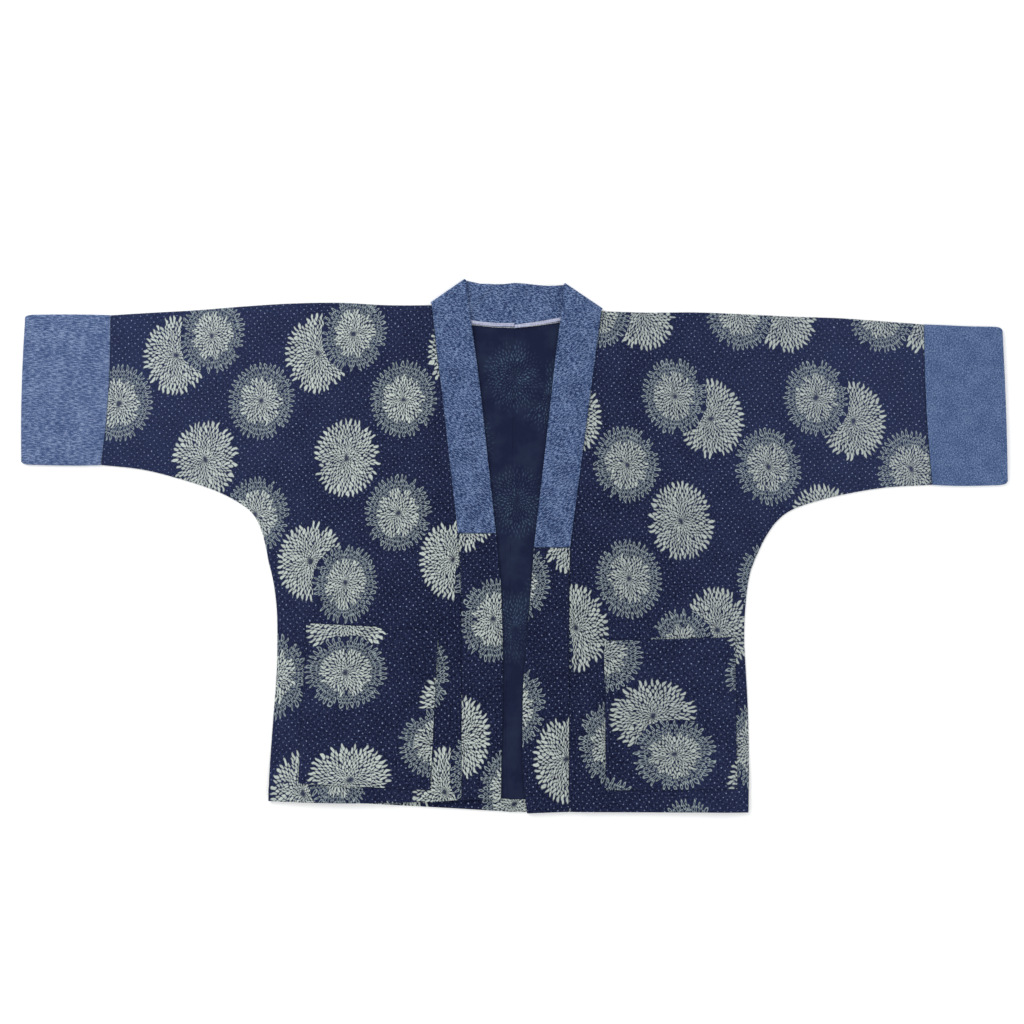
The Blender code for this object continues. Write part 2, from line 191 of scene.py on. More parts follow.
# Sections of the right front, along the collar and band seam to the hem
# outer x, outer y, inner x, inner y, bow
FRONT_RIGHT = (
    (-105.3, 259.8, -334.4, -21.8, 0.0),
    (-97.0, 189.0, -330.3, -38.1, 0.0),
    (-88.7, 118.3, -326.5, -58.5, 0.0),
    (-77.1, 17.7, -323.3, -89.8, 0.0),
    (-73.3, -46.2, -322.7, -127.8, 0.0),
    (-72.5, -111.5, -323.5, -168.6, 0.0),
    (-72.2, -176.8, -326.5, -212.2, 0.0),
    (-72.2, -236.6, -329.8, -254.3, 0.0),
    (-72.2, -293.8, -333.1, -301.9, 0.0),
    (-72.2, -343.6, -334.7, -345.6, 4.0),
)

# Sections of the left sleeve, from the cuff seam to the neck point
# outer x, outer y, inner x, inner y, bow
ARM_LEFT = (
    (556.9, 301.4, 568.1, 83.0, -3.0),
    (502.5, 305.5, 505.2, 79.4, 0.0),
    (442.7, 309.8, 449.5, 70.3, 0.0),
    (377.4, 312.0, 404.6, 59.0, 0.0),
    (312.1, 315.2, 374.7, 47.6, 0.0),
    (246.8, 317.7, 355.6, 32.0, 0.0),
    (181.6, 317.4, 341.4, 11.6, 0.0),
    (118.6, 319.3, 332.0, -7.5, 0.0),
)

# Sections of the left back, along the neckline and the centre seam to the hem
# outer x, outer y, inner x, inner y, bow
BACK_LEFT = (
    (89.1, 311.0, 325.7, -20.4, 0.0),
    (59.2, 303.8, 321.1, -34.0, 0.0),
    (29.2, 299.3, 317.8, -49.0, 0.0),
    (-0.1, 296.5, 315.7, -66.6, 0.0),
    (-1.55, 212.2, 313.8, -91.1, 0.0),
    (-2.85, 130.6, 312.9, -127.8, 0.0),
    (-5.05, 21.8, 314.3, -160.5, 0.0),
    (-8.05, -87.0, 316.5, -195.8, 0.0),
    (-11.05, -182.2, 318.4, -236.6, 0.0),
    (-12.15, -270.6, 318.9, -297.8, 0.0),
    (-8.55, -360.8, 318.4, -359.2, 0.0),
)

# Sections of the left front, along the collar and band seam to the hem
# outer x, outer y, inner x, inner y, bow
FRONT_LEFT = (
    (109.1, 248.9, 325.7, -21.8, 0.0),
    (99.6, 178.2, 320.3, -38.1, 0.0),
    (90.0, 107.4, 316.5, -59.8, 0.0),
    (75.8, -1.4, 313.5, -93.8, 0.0),
    (74.7, -59.8, 312.7, -130.6, 0.0),
    (74.4, -122.4, 314.6, -165.9, 0.0),
    (74.4, -185.0, 317.0, -209.4, 0.0),
    (74.4, -244.8, 318.6, -257.0, 0.0),
    (74.4, -304.6, 318.9, -311.4, 0.0),
    (74.5, -360.6, 318.1, -361.4, 0.0),
)

# Rows of the collar's front parts, from the lower end up to the roll at the neck
# seam x, seam y, free x, free y, seam height, free height
COLLAR_RIGHT = (
    (-76.8, 17.3, -25.2, 17.3, 2.5, 2.7),
    (-84.3, 81.6, -32.2, 82.3, 2.5, 2.9),
    (-91.8, 146.9, -39.4, 147.6, 2.5, 2.7),
    (-99.1, 210.8, -46.6, 213.5, 2.5, 2.8),
    (-105.0, 261.1, -54.0, 269.3, 2.6, 3.4),
    (-108.7, 292.4, -58.3, 301.2, 3.0, 5.1),
    (-111.0, 312.8, -61.9, 330.5, 3.9, 5.3),
)
COLLAR_LEFT = (
    (75.5, -1.8, 26.5, -1.8, 2.5, 2.7),
    (84.2, 63.9, 34.1, 64.6, 2.5, 2.8),
    (92.9, 129.2, 41.8, 130.6, 2.5, 2.7),
    (101.6, 194.5, 49.2, 195.8, 2.5, 2.9),
    (109.3, 253.0, 56.0, 258.4, 2.6, 3.4),
    (113.3, 282.9, 61.1, 297.8, 3.0, 5.1),
    (116.0, 304.0, 65.1, 327.8, 3.9, 5.3),
)

# Rows of the collar behind the neck, from the roll to the centre seam
# seam x, seam y, free x, free y
NAPE_RIGHT = (
    (-112.7, 328.4, -65.6, 361.0),
    (-87.7, 317.0, -46.9, 356.9),
    (-57.8, 301.6, -29.2, 356.0),
    (-29.2, 298.4, -14.3, 356.3),
    (-0.05, 297.4, -0.05, 357.9),
)
NAPE_LEFT = (
    (118.2, 320.3, 66.9, 355.0),
    (89.1, 312.0, 46.9, 353.3),
    (59.2, 304.8, 29.2, 355.2),
    (29.2, 300.3, 14.3, 356.9),
    (0.05, 297.4, 0.05, 357.9),
)

# Rows of the printed bands below the collar
# seam x, seam y, free x, free y
BAND_RIGHT = (
    (-76.6, 16.9, -24.9, 16.9),
    (-73.0, -46.2, -19.0, -46.2),
    (-72.1, -111.5, -16.6, -111.5),
    (-71.9, -176.8, -15.6, -176.8),
    (-71.9, -236.6, -16.4, -236.6),
    (-71.9, -293.8, -17.8, -293.8),
    (-71.9, -344.6, -18.4, -345.2),
)
BAND_LEFT = (
    (75.5, -2.3, 26.5, -2.3),
    (74.4, -59.8, 22.3, -59.8),
    (74.1, -122.4, 17.4, -122.4),
    (74.1, -185.0, 12.0, -185.0),
    (74.1, -244.8, 11.0, -244.8),
    (74.1, -304.6, 11.2, -304.6),
    (74.1, -361.5, 17.0, -363.7),
)

# Sections of the cuffs, from the sleeve seam to the open end
# top x, top y, bottom x, bottom y, bow
CUFF_RIGHT = (
    (-549.8, 313.9, -562.5, 109.9, 4.0),
    (-577.3, 314.7, -590.9, 109.3, 1.0),
    (-615.4, 315.0, -623.6, 109.6, 0.0),
    (-642.6, 314.7, -648.0, 110.2, -1.0),
    (-657.6, 314.3, -662.3, 110.7, -1.8),
    (-663.9, 312.8, -669.0, 112.6, -2.0),
    (-665.3, 310.1, -670.6, 114.9, -2.0),
)
CUFF_LEFT = (
    (557.3, 301.4, 568.5, 83.0, -3.0),
    (585.5, 300.3, 592.3, 81.9, -1.0),
    (616.8, 298.9, 619.5, 81.7, 0.0),
    (639.9, 298.4, 646.7, 82.3, 0.6),
    (656.2, 297.8, 661.6, 83.0, 1.0),
    (661.6, 295.9, 668.4, 84.9, 1.0),
    (663.4, 293.1, 670.6, 88.4, 1.0),
)

# Corners of the patch pockets, clockwise from the upper corner at the lower X
POCKET_RIGHT = ((-282.9, -105.1), (-103.6, -114.2), (-114.6, -331.6), (-293.9, -322.5))
POCKET_LEFT = ((121.7, -129.2), (299.9, -123.8), (302.6, -329.9), (124.4, -331.8))
# Rows near a pocket's edges, and the least step between the others
POCKET_RIM = [0.0, 0.8, 1.6, 2.4, 3.2, 4.4, 6.5, 9.0, 13.0]
POCKET_STEP = 5.0
# Steps that the turnings and the top hem make in its face
# height, distance from the edge, width of the step
POCKET_TURNING = (0.45, 9.0, 2.5)
POCKET_HEM = (0.4, 27.0, 3.0)
# Groove of its stitching: depth, distance from the edge, width
POCKET_GROOVE = (0.35, 2.4, 0.9)
# Slack in its face: height, reach from the edge, share that is even
POCKET_SLACK = (0.8, 30.0, 0.6)
# Distance from the upper edge to the stitches of its hem
POCKET_HEM_STITCH = 25.0

# Tape along the neck seam, on the inner face of the collar
# seam x, seam y, free x, free y
TAPE_RIGHT = (
    (-71.4, 309.8, -71.4, 314.4),
    (-57.8, 302.5, -57.8, 307.1),
    (-29.2, 299.1, -29.2, 303.7),
    (-0.2, 298.4, -0.2, 303.0),
)
TAPE_LEFT = (
    (72.8, 308.7, 72.8, 313.3),
    (59.2, 305.6, 59.2, 310.2),
    (29.2, 300.2, 29.2, 304.8),
    (0.2, 296.4, 0.2, 301.0),
)

# Soft folds across the corners of the nape
# start x, start y, end x, end y, height, width
NAPE_FOLDS = (
    (-66.0, 322.0, -22.0, 366.0, 3.2, 4.6),
    (32.0, 368.0, 76.0, 326.0, 3.0, 4.6),
)

# Largest soft folds of the fronts and sleeves
# start x, start y, end x, end y, height, width
FOLDS = (
    (-338.0, 98.0, -262.0, 236.0, 4.6, 17.0),
    (-322.0, 62.0, -218.0, 196.0, 4.0, 19.0),
    (-330.0, -20.0, -262.0, 60.0, 2.2, 22.0),
    (-520.0, 130.0, -440.0, 250.0, 1.8, 26.0),
    (262.0, 88.0, 345.0, 98.0, 3.0, 12.0),
    (250.0, 48.0, 330.0, 60.0, 3.2, 14.0),
    (210.0, 120.0, 118.0, 26.0, 2.6, 22.0),
    (500.0, 110.0, 430.0, 230.0, 1.8, 26.0),
)

# Smaller creases on top of the large folds; a negative height is a trough
# start x, start y, end x, end y, height, width
CREASES = (
    (-345.0, 122.0, -300.0, 214.0, 1.1, 7.0),
    (-305.0, 48.0, -232.0, 150.0, 1.0, 7.0),
    (-316.0, 4.0, -250.0, 96.0, 0.8, 9.0),
    (-430.0, 106.0, -404.0, 196.0, 0.8, 10.0),
    (-488.0, 118.0, -470.0, 214.0, 0.7, 9.0),
    (-236.0, -52.0, -132.0, -30.0, 0.6, 10.0),
    (-306.0, -92.0, -206.0, -64.0, 0.7, 11.0),
    (-124.0, 196.0, -176.0, 112.0, 0.7, 10.0),
    (-226.0, 306.0, -214.0, 236.0, 0.6, 11.0),
    (-402.0, 302.0, -352.0, 262.0, 0.7, 12.0),
    (342.0, 60.0, 286.0, 128.0, 0.9, 8.0),
    (322.0, 14.0, 262.0, 74.0, 0.9, 9.0),
    (430.0, 84.0, 412.0, 176.0, 0.8, 10.0),
    (498.0, 92.0, 486.0, 190.0, 0.6, 9.0),
    (132.0, 196.0, 184.0, 116.0, 0.7, 10.0),
    (212.0, -22.0, 128.0, -52.0, 0.7, 10.0),
    (300.0, -78.0, 206.0, -94.0, 0.7, 11.0),
    (236.0, 300.0, 226.0, 232.0, 0.6, 11.0),
    (384.0, 288.0, 338.0, 244.0, 0.7, 12.0),
)

# The right front's hem stands a little off the back beside the band
LIFT_HEIGHT = 5.0
LIFT_X = -95.0
LIFT_WIDTH = 26.0
LIFT_TOP = -292.0
LIFT_REACH = 50.0

# Where the first flower of the print lies on each piece
# centre x, centre y, angle of the print's rows, angle of its columns, stretch across
PRINT_PLACES = {
    "front_right": (-460.2, 258.8, 0.8, 2.0, 1.0),
    "front_left": (276.0, -109.2, 179.1, 178.0, 1.0),
    "back_right": (48.0, 203.6, 180.0, 0.0, 1.0),
    "back_left": (48.0, 203.6, 180.0, 0.0, 1.0),
    "pocket_right": (-380.5, -212.0, -88.5, 87.5, 1.07),
    "pocket_left": (187.7, -214.6, -89.2, 88.3, 1.1),
    "band_right": (-68.3, 46.1, 180.0, 182.0, 1.0),
    "band_left": (79.8, 14.6, 0.0, 1.7, 1.0),
}
# Below this height the cloth has grown longer, and the print with it
GROWN_BELOW = -66.6
GROWTH = 1.11

# The print's repeat, and its flowers from the back to the front
REPEAT_WIDTH = 193.1
REPEAT_HEIGHT = 571.2
# centre x, centre y, half width, half height, whole
FLOWERS = (
    (0.0, 0.0, 47.0, 56.5, True),
    (44.2, -142.4, 47.0, 56.0, True),
    (-0.8, -282.4, 47.0, 56.5, True),
    (87.0, -427.0, 47.0, 56.0, True),
    (48.6, 26.6, 46.0, 54.5, False),
    (118.2, -63.6, 47.5, 55.0, False),
    (116.4, -218.6, 47.5, 55.0, False),
    (47.9, -312.4, 46.0, 54.5, False),
    (148.9, -428.4, 47.0, 55.0, False),
)
# Petals round each zone of a flower, from the rim to the heart
# petals, rows for each e-fold of the radius, radius where the rows start, last row
PETAL_ZONES = (
    (42.0, 6.9, 1.0, -4.5),
    (28.0, 4.6, 0.54, -3.5),
    (15.0, 2.7, 0.27, None),
)
# Half length and half width of a petal in its place, and how it narrows outwards
PETAL_LENGTH = 0.7
PETAL_WIDTH = 0.5
PETAL_TAPER = 0.08
# Ranges over which a petal's parts come up, from and to, then low and high
PETAL_EDGE = (1.28, 0.86)
PETAL_HOLLOW = (0.1, 0.7, 0.82, 1.0)
OUTLINE_OUTSIDE = (1.18, 0.9)
OUTLINE_INSIDE = (0.45, 0.9)
VEIN_EDGE = (0.85, 0.35)
VEIN_REACH = (0.96, 0.5)
HEART = (0.045, 0.1, 0.08, 1.0)
# Chance makes petals smaller and duller, and the rim and the dim ring ragged
PETAL_SHRINK = 0.22
PETAL_DULLING = -0.28
RIM_RAGGED = 0.4
RING_RAGGED = 1.3
# Rows where a flower ends, and where the dim ring of a two-tone flower ends
RIM_ROW = -0.65
RING_ROW = -3.1
# A two-tone flower is trimmed where it covers another one within this radius
COVER_RADIUS = 0.92
COVER_TRIM = -0.03
# Each flower carries a small mark, below zero where it is two-tone
FLOWER_MARK = 0.001
MARK_SPREAD = 7000.0
# A place outside every flower, in radii
NOWHERE = (9.0, 9.0, 0.0)
# Wavering of the print: scale, and reach on flowers and dots in metres
WAVER_SCALE = 95.0
FLOWER_WAVER = 0.0062
DOT_WAVER = 0.0042
# Dots: distance, angle of their rows, rim, heart, and radius from which they show
DOT_PITCH = 6.4
DOT_ANGLE = 40.0
DOT_RIM = 0.145
DOT_HEART = 0.06
DOTS_FROM = 0.96
# Chance fades the dots: power, share that varies, share that stays
DOT_FADING = (1.6, 0.72, 0.28)


def srgb(red, green, blue):
    """Return a linear colour from 0 to 255 display values."""
    def linear(value):
        value /= 255.0
        return value / 12.92 if value <= 0.04045 else ((value + 0.055) / 1.055) ** 2.4
    return (linear(red), linear(green), linear(blue), 1.0)


INDIGO = srgb(0, 5, 37)
# The paler indigo serves both the painted light outwards and the real fading in mottles and wear
INDIGO_FADED_AND_LIT = srgb(38, 48, 83)
PETAL = srgb(208, 218, 209)
PETAL_DIM = srgb(162, 177, 177)
DOT = srgb(142, 157, 188)
REVERSE = srgb(19, 26, 55)
REVERSE_FLOWER = srgb(80, 106, 130)
# Painted light: the indigo grows lighter outwards from the lower middle of the coat, toward the
# sleeves
# stretch and shift of the coat's coordinates
PAINTED_LIGHT_STRETCH = (1.0, 0.5, 0.0)
PAINTED_LIGHT_SHIFT = (0.0, 0.1, 0.0)
# It grows lighter outwards as painted light, and fades in mottles and in fine wear; ranges are from,
# to, low and high
PAINTED_LIGHT_OUTWARD = (0.1, 0.56, 0.0, 0.52)
FADE_MOTTLE = (0.35, 0.7, 0.0, 0.18)
FADE_FINE = (0.43, 0.6, -0.1, 0.6)
# The petals are worn in places, and darker on the left half of the coat as painted shade
PETAL_WEAR = (0.3, 0.7, 0.78, 1.0)
PETAL_PAINTED_SHADE = (-0.05, 0.15, 1.0, 0.84)
# On the wrong side the flowers are patchy, and fade out lower down
REVERSE_FADE = (-0.2, -0.08)
REVERSE_PATCHES = (0.35, 0.65, 0.25, 1.0)
REVERSE_MOTTLE = (0.4, 0.8, 0.0, 0.1)
REVERSE_STRENGTH = 0.9
# deep, middle and pale threads, share of crosswise slubs, length of a slub, contrast
CHAMBRAYS = {
    "collar": (srgb(24, 42, 80), srgb(59, 79, 120), srgb(122, 142, 178), 0.25, 0.32, 0.92),
    "cuff_right": (srgb(50, 71, 112), srgb(79, 98, 138), srgb(134, 150, 184), 0.15, 0.2, 0.75),
    "cuff_left": (srgb(46, 70, 112), srgb(74, 95, 136), srgb(116, 136, 172), 0.75, 0.6, 0.62),
}
# Parts of a chambray's tone: scale, detail, weight; then their roughness and relief
SLUBS_ALONG = (720.0, 1.5, 3.0)
SLUBS_ACROSS = (700.0, 1.5, 2.8)
GRAIN = (1000.0, 1.0, 1.8)
MOTTLE = (42.0, 3.0, 0.9)
TONE_ROUGHNESS = 0.6
TONE_RELIEF = 1.2
TAPE_PALE = srgb(200, 205, 224)
TAPE_SHADE = srgb(140, 143, 172)
THREAD_INDIGO = srgb(26, 32, 72)
THREAD_BLUE = srgb(50, 76, 124)
# Brightness of the painted shade in the hollows of a sewing thread's twist, and the scale of its
# twist
THREAD_HOLLOW_SHADE = 0.7
THREAD_TWIST = 900.0
THREAD_ROUGHNESS = 0.7

# Threads in a metre, and the weave's slubs: length, scale, relief, range of their mask
COTTON_THREADS = 1100.0
CHAMBRAY_THREADS = 900.0
SLUB_LENGTH = 17.0
SLUB_SCALE = 46.0
SLUB_RELIEF = 1.5
SLUB_RANGE = (0.34, 0.74)
# Relief of each cloth: strength, depth in metres
COTTON_RELIEF = (0.35, 0.00025)
CHAMBRAY_RELIEF = (0.45, 0.0003)
TAPE_RELIEF = (0.4, 0.0003)
THREAD_RELIEF = (0.4, 0.0002)
# Finish of each cloth: roughness, sheen
FACE_FINISH = (0.88, 0.03)
REVERSE_FINISH = (0.9, 0.02)
CHAMBRAY_FINISH = (0.9, 0.05)
TAPE_FINISH = (0.9, 0.1)
SHEEN_ROUGHNESS = 0.6
COTTON_GLOSS = 0.15
# Noise in the printed cotton: scale, detail, roughness
FACE_MOTTLES = (26.0, 3.0, 0.6)
FACE_WEAR = (420.0, 2.0, 0.7)
REVERSE_MOTTLES = (30.0, 3.0, 0.6)

# Stitches: spacing, then the least and most half width, half height and half length
STITCH_SPACING = 3.4
STITCH_LEAST = (0.19, 0.17, 1.25)
STITCH_MOST = (0.24, 0.21, 1.5)
# Share of the width where stitches run along bands and collar
STITCH_SHARE = 0.05
# Stitches of the back's hem run this far below its raw edge
HEM_STITCH_DROP = 2.0

# Floor, light and camera, in metres
FLOOR = srgb(252, 252, 251)
FLOOR_SIZE = 5.0
FLOOR_DROP = 0.0004
FLOOR_ROUGHNESS = 0.95
FLOOR_GLOW = 0.12
SKY = (0.97, 0.98, 1.0, 1.0)
SKY_STRENGTH = 0.74
# name, place, width and height, power
LIGHTS = (
    ("key_light", (-1.9, 2.3, 2.0), 2.2, 62.0),
    ("fill_light", (2.2, -1.8, 2.6), 2.5, 26.0),
)
CAMERA_PLACE = (-0.0034, 0.0462, 3.291)
CAMERA_LENS = 85.0
CAMERA_SENSOR = 36.0


def ease(value):
    """Return a smooth step from 0 to 1."""
    value = min(max(value, 0.0), 1.0)
    return value * value * (3.0 - 2.0 * value)


def bell(value, middle, width):
    """Return a soft hump that is 1 at its middle."""
    return math.exp(-((value - middle) / width) ** 2)


def crown(share):
    """Return the swell of a padded strip at a share of its width."""
    return 1.0 - (2.0 * share - 1.0) ** 4


def step_height(step, place):
    """Return the height of a step that rises as the place falls below its start."""
    height, start, width = step
    return height * ease((start - place) / width)


def blend(first, second, share):
    """Return the point a share of the way from the first to the second."""
    return tuple(a + (b - a) * share for a, b in zip(first, second))


def spline(points, corners, steps):
    """Return a smooth path through the points that keeps its corners."""
    path = []
    last = len(points) - 1
    for index in range(last):
        start = points[index]
        end = points[index + 1]
        before = start if index == 0 or index in corners else points[index - 1]
        after = end if index + 1 == last or index + 1 in corners else points[index + 2]
        for step in range(steps):
            share = step / steps
            path.append(tuple(
                0.5 * (
                    2 * b
                    + (c - a) * share
                    + (2 * a - 5 * b + 4 * c - d) * share ** 2
                    + (3 * b - a - 3 * c + d) * share ** 3
                )
                for a, b, c, d in zip(before, start, end, after)
            ))
    path.append(points[last])
    return path


def ridge_height(table, x, y):
    """Return the summed height of the folds in a table at a point."""
    total = 0.0
    for start_x, start_y, end_x, end_y, height, width in table:
        along = Vector((end_x - start_x, end_y - start_y))
        offset = Vector((x - start_x, y - start_y))
        share = offset.dot(along) / along.length_squared
        if 0.0 < share < 1.0:
            side = abs(offset.x * along.y - offset.y * along.x) / along.length
            fade = ease(share / FOLD_START) * ease((1.0 - share) / FOLD_END)
            total += height * fade * bell(side, 0.0, width)
    return total


def crumple(x, y, seed):
    """Return small uneven waves of handled cotton."""
    return sum(
        height * noise.noise(Vector((x / size, y / size, seed + shift)))
        for size, height, shift in CRUMPLES
    )


def hem_lift(x, y):
    """Return how far the right front's hem stands off the back."""
    return LIFT_HEIGHT * bell(x, LIFT_X, LIFT_WIDTH) * ease((LIFT_TOP - y) / LIFT_REACH)


def front_height(x, y, edge):
    """Return the middle height of the front layer."""
    wave = WAVE * math.sin(x / WAVE_ACROSS[0] + WAVE_ACROSS[1])
    wave *= math.sin(y / WAVE_DOWN[0] + WAVE_DOWN[1])
    loft = PUFF + wave + ridge_height(FOLDS, x, y)
    loft += ridge_height(CREASES, x, y) + crumple(x, y, SEEDS["front"])
    hem = step_height(FRONT_RISE, y)
    return FRONT_MID + hem + hem_lift(x, y) + ease(edge / PUFF_REACH) * max(loft, LEAST_PUFF)


def back_height(x, y, edge):
    """Return the middle height of the back, which lies flat."""
    return BACK_MID


def band_height(x, y):
    """Return the middle height of the printed bands."""
    ripple = BAND_CRUMPLE * crumple(x, y, SEEDS["band"])
    return BAND_MID + step_height(BAND_RISE, y) + hem_lift(x, y) + BAND_LOFT + ripple


def print_point(name, x, y):
    """Return where a point of the laid cloth falls in the print, in metres."""
    start_x, start_y, row_angle, column_angle, across = PRINT_PLACES[name]
    if y < GROWN_BELOW:
        y = GROWN_BELOW + (y - GROWN_BELOW) / GROWTH
    side = (x - start_x) / across
    up = y - start_y
    row_x, row_y = math.cos(math.radians(row_angle)), math.sin(math.radians(row_angle))
    column_x, column_y = math.sin(math.radians(column_angle)), math.cos(math.radians(column_angle))
    scale = MM / (row_x * column_y - row_y * column_x)
    return (scale * (side * column_y - up * column_x), scale * (up * row_x - side * row_y))


def turned(places, degrees):
    """Return cloth places turned by an angle."""
    cosine = math.cos(math.radians(degrees))
    sine = math.sin(math.radians(degrees))
    return [
        [(cosine * u - sine * v, sine * u + cosine * v) for u, v in row]
        for row in places
    ]


def section_paths(arm, body, corners, steps):
    """Return the outer points, inner points and bows of all sections."""
    rows = arm + body
    outer = spline([row[0:2] for row in rows], corners, steps)
    inner = spline([row[2:5] for row in rows], (), steps)
    return outer, [row[0:2] for row in inner], [row[2] for row in inner]


def section_columns(length, outer_roll, inner_roll, columns, inset):
    """Return (distance along the section, drop) for each column of a panel."""
    start = [
        (flat + (rolled - flat) * outer_roll + inset * outer_roll, drop * outer_roll)
        for flat, rolled, drop in ROLL
    ]
    end = [
        (length - flat - (rolled - flat) * inner_roll - inset * inner_roll, drop * inner_roll)
        for flat, rolled, drop in reversed(ROLL)
    ]
    first = start[-1][0]
    last = end[0][0]
    middle = [(first + (last - first) * k / columns, 0.0) for k in range(1, columns)]
    return start + middle + end


def panel(name, arm, body, corners, height, turn, steps, columns, inset):
    """Return the points and print places of a panel with its hem turned up.

    turn is +1 where the hem turns up onto the panel and -1 where it turns under.
    inset is how far the panel stays behind the roll; a rolled panel has none.
    """
    outer, inner, bows = section_paths(arm, body, corners, steps)
    neck = len(arm) * steps - steps
    hem_y = inner[-1][1]
    points = []
    places = []
    last = None
    for index, (start, end, bow) in enumerate(zip(outer, inner, bows)):
        from_neck = (Vector(start) - Vector(outer[neck])).length
        outer_roll = ease(from_neck / NECK_ROLL_REACH) if index <= neck else 0.0
        inner_roll = ease((end[1] - hem_y - HEM_ROLL_START) / HEM_ROLL_REACH)
        along = Vector(end) - Vector(start)
        across = Vector((-along.y, along.x)).normalized()
        row = []
        for distance, drop in section_columns(
            along.length, outer_roll, inner_roll, columns, inset
        ):
            share = distance / along.length
            point = Vector(start) + along * share + across * (bow * 4 * share * (1 - share))
            edge = min(distance, along.length - distance)
            fall = drop if inset == 0.0 else 0.0
            row.append((point.x, point.y, edge, fall))
        points.append([(x, y, height(x, y, edge) - fall) for x, y, edge, fall in row])
        places.append([print_point(name, x, y) for x, y, edge, fall in row])
        last = row
    for step in range(1, HEM_TURNS + 1):
        angle = math.pi * step / HEM_TURNS
        out = HEM_RADIUS * math.sin(angle)
        up = turn * HEM_RADIUS * (1.0 - math.cos(angle))
        points.append([(x, y - out, height(x, y, edge) + up) for x, y, edge, fall in last])
        places.append([print_point(name, x, y - HEM_RADIUS * angle) for x, y, *rest in last])
    for depth in HEM_ROWS:
        lower = HEM_RADIUS * math.pi + depth
        points.append([
            (x, y + depth, height(x, y + depth, edge) + turn * 2 * HEM_RADIUS)
            for x, y, edge, fall in last
        ])
        places.append([print_point(name, x, y - lower) for x, y, *rest in last])
    return points, places


def strip(name, table):
    """Return the points and print places of a printed band."""
    seam = spline([row[0:2] for row in table], (), BAND_STEPS)
    free = spline([row[2:4] for row in table], (), BAND_STEPS)
    shares = [column / BAND_COLUMNS for column in range(BAND_COLUMNS + 1)]
    points = []
    places = []
    for seam_point, free_point in zip(seam, free):
        flat = [blend(seam_point, free_point, share) for share in shares]
        points.append([
            (x, y, band_height(x, y) + BAND_CROWN * crown(share))
            for (x, y), share in zip(flat, shares)
        ])
        places.append([print_point(name, x, y) for x, y in flat])
    return points, places


def collar(front, nape, seed):
    """Return the points and cloth places of half a collar.

    It runs up the front, rolls over at the neck and lies back behind it.
    """
    seam = spline([(row[0], row[1], row[4]) for row in front], (), COLLAR_STEPS)
    free = spline([(row[2], row[3], row[5]) for row in front], (), COLLAR_STEPS)
    ends = list(zip(seam, free))
    loose = [1.0] * len(ends)
    seam_end = Vector(nape[0][0:2])
    free_end = Vector(nape[0][2:4])
    along = (free_end - seam_end).normalized()
    outward = Vector((along.y, -along.x))
    if outward.y < 0:
        outward = -outward
    radius = (COLLAR_HIGH - COLLAR_LOW) / 2
    for step in range(FOLD_TURNS + 1):
        angle = math.pi * step / FOLD_TURNS
        shift = outward * (radius * math.sin(angle))
        height = COLLAR_LOW + radius * (1.0 + math.cos(angle))
        ends.append(((*(seam_end + shift), height), (*(free_end + shift), height)))
        loose.append(0.0)
    roll_end = len(ends) - 1
    for start, end in zip(nape[:-1], nape[1:]):
        for step in range(1, NAPE_STEPS + 1):
            row = blend(start, end, step / NAPE_STEPS)
            ends.append(((row[0], row[1], COLLAR_LOW), (row[2], row[3], COLLAR_LOW)))
            loose.append(0.0)
    step_over = NAPE_OVERLAP if nape[0][0] < 0 else -NAPE_OVERLAP
    start, end = ends[-1]
    ends.append((
        (start[0] + step_over, start[1], start[2] - NAPE_TUCK),
        (end[0] + step_over, end[1], end[2] - NAPE_TUCK),
    ))
    loose.append(0.0)
    points = []
    places = []
    travelled = 0.0
    before = None
    for index, ((start, end), free_share) in enumerate(zip(ends, loose)):
        behind = index >= roll_end
        middle = Vector(blend(start, end, 0.5))
        if before is not None:
            travelled += (middle - before).length
        before = middle
        width = (Vector(end) - Vector(start)).length
        row = []
        for column in range(COLLAR_COLUMNS + 1):
            share = column / COLLAR_COLUMNS
            x, y, z = blend(start, end, share)
            swell = COLLAR_CROWN * crown(share)
            ripple = COLLAR_LOFT + COLLAR_CRUMPLE * crumple(x, y, seed)
            fold = ridge_height(NAPE_FOLDS, x, y) if behind else 0.0
            row.append((x, y, z + free_share * (swell + ripple) + fold))
        points.append(row)
        if behind:
            places += turned([[(MM * x, MM * y) for x, y, z in row]], NAPE_SLOPE)
        else:
            places += turned([[
                (MM * width * column / COLLAR_COLUMNS, MM * travelled)
                for column in range(COLLAR_COLUMNS + 1)
            ]], COLLAR_SLOPE)
    return points, places


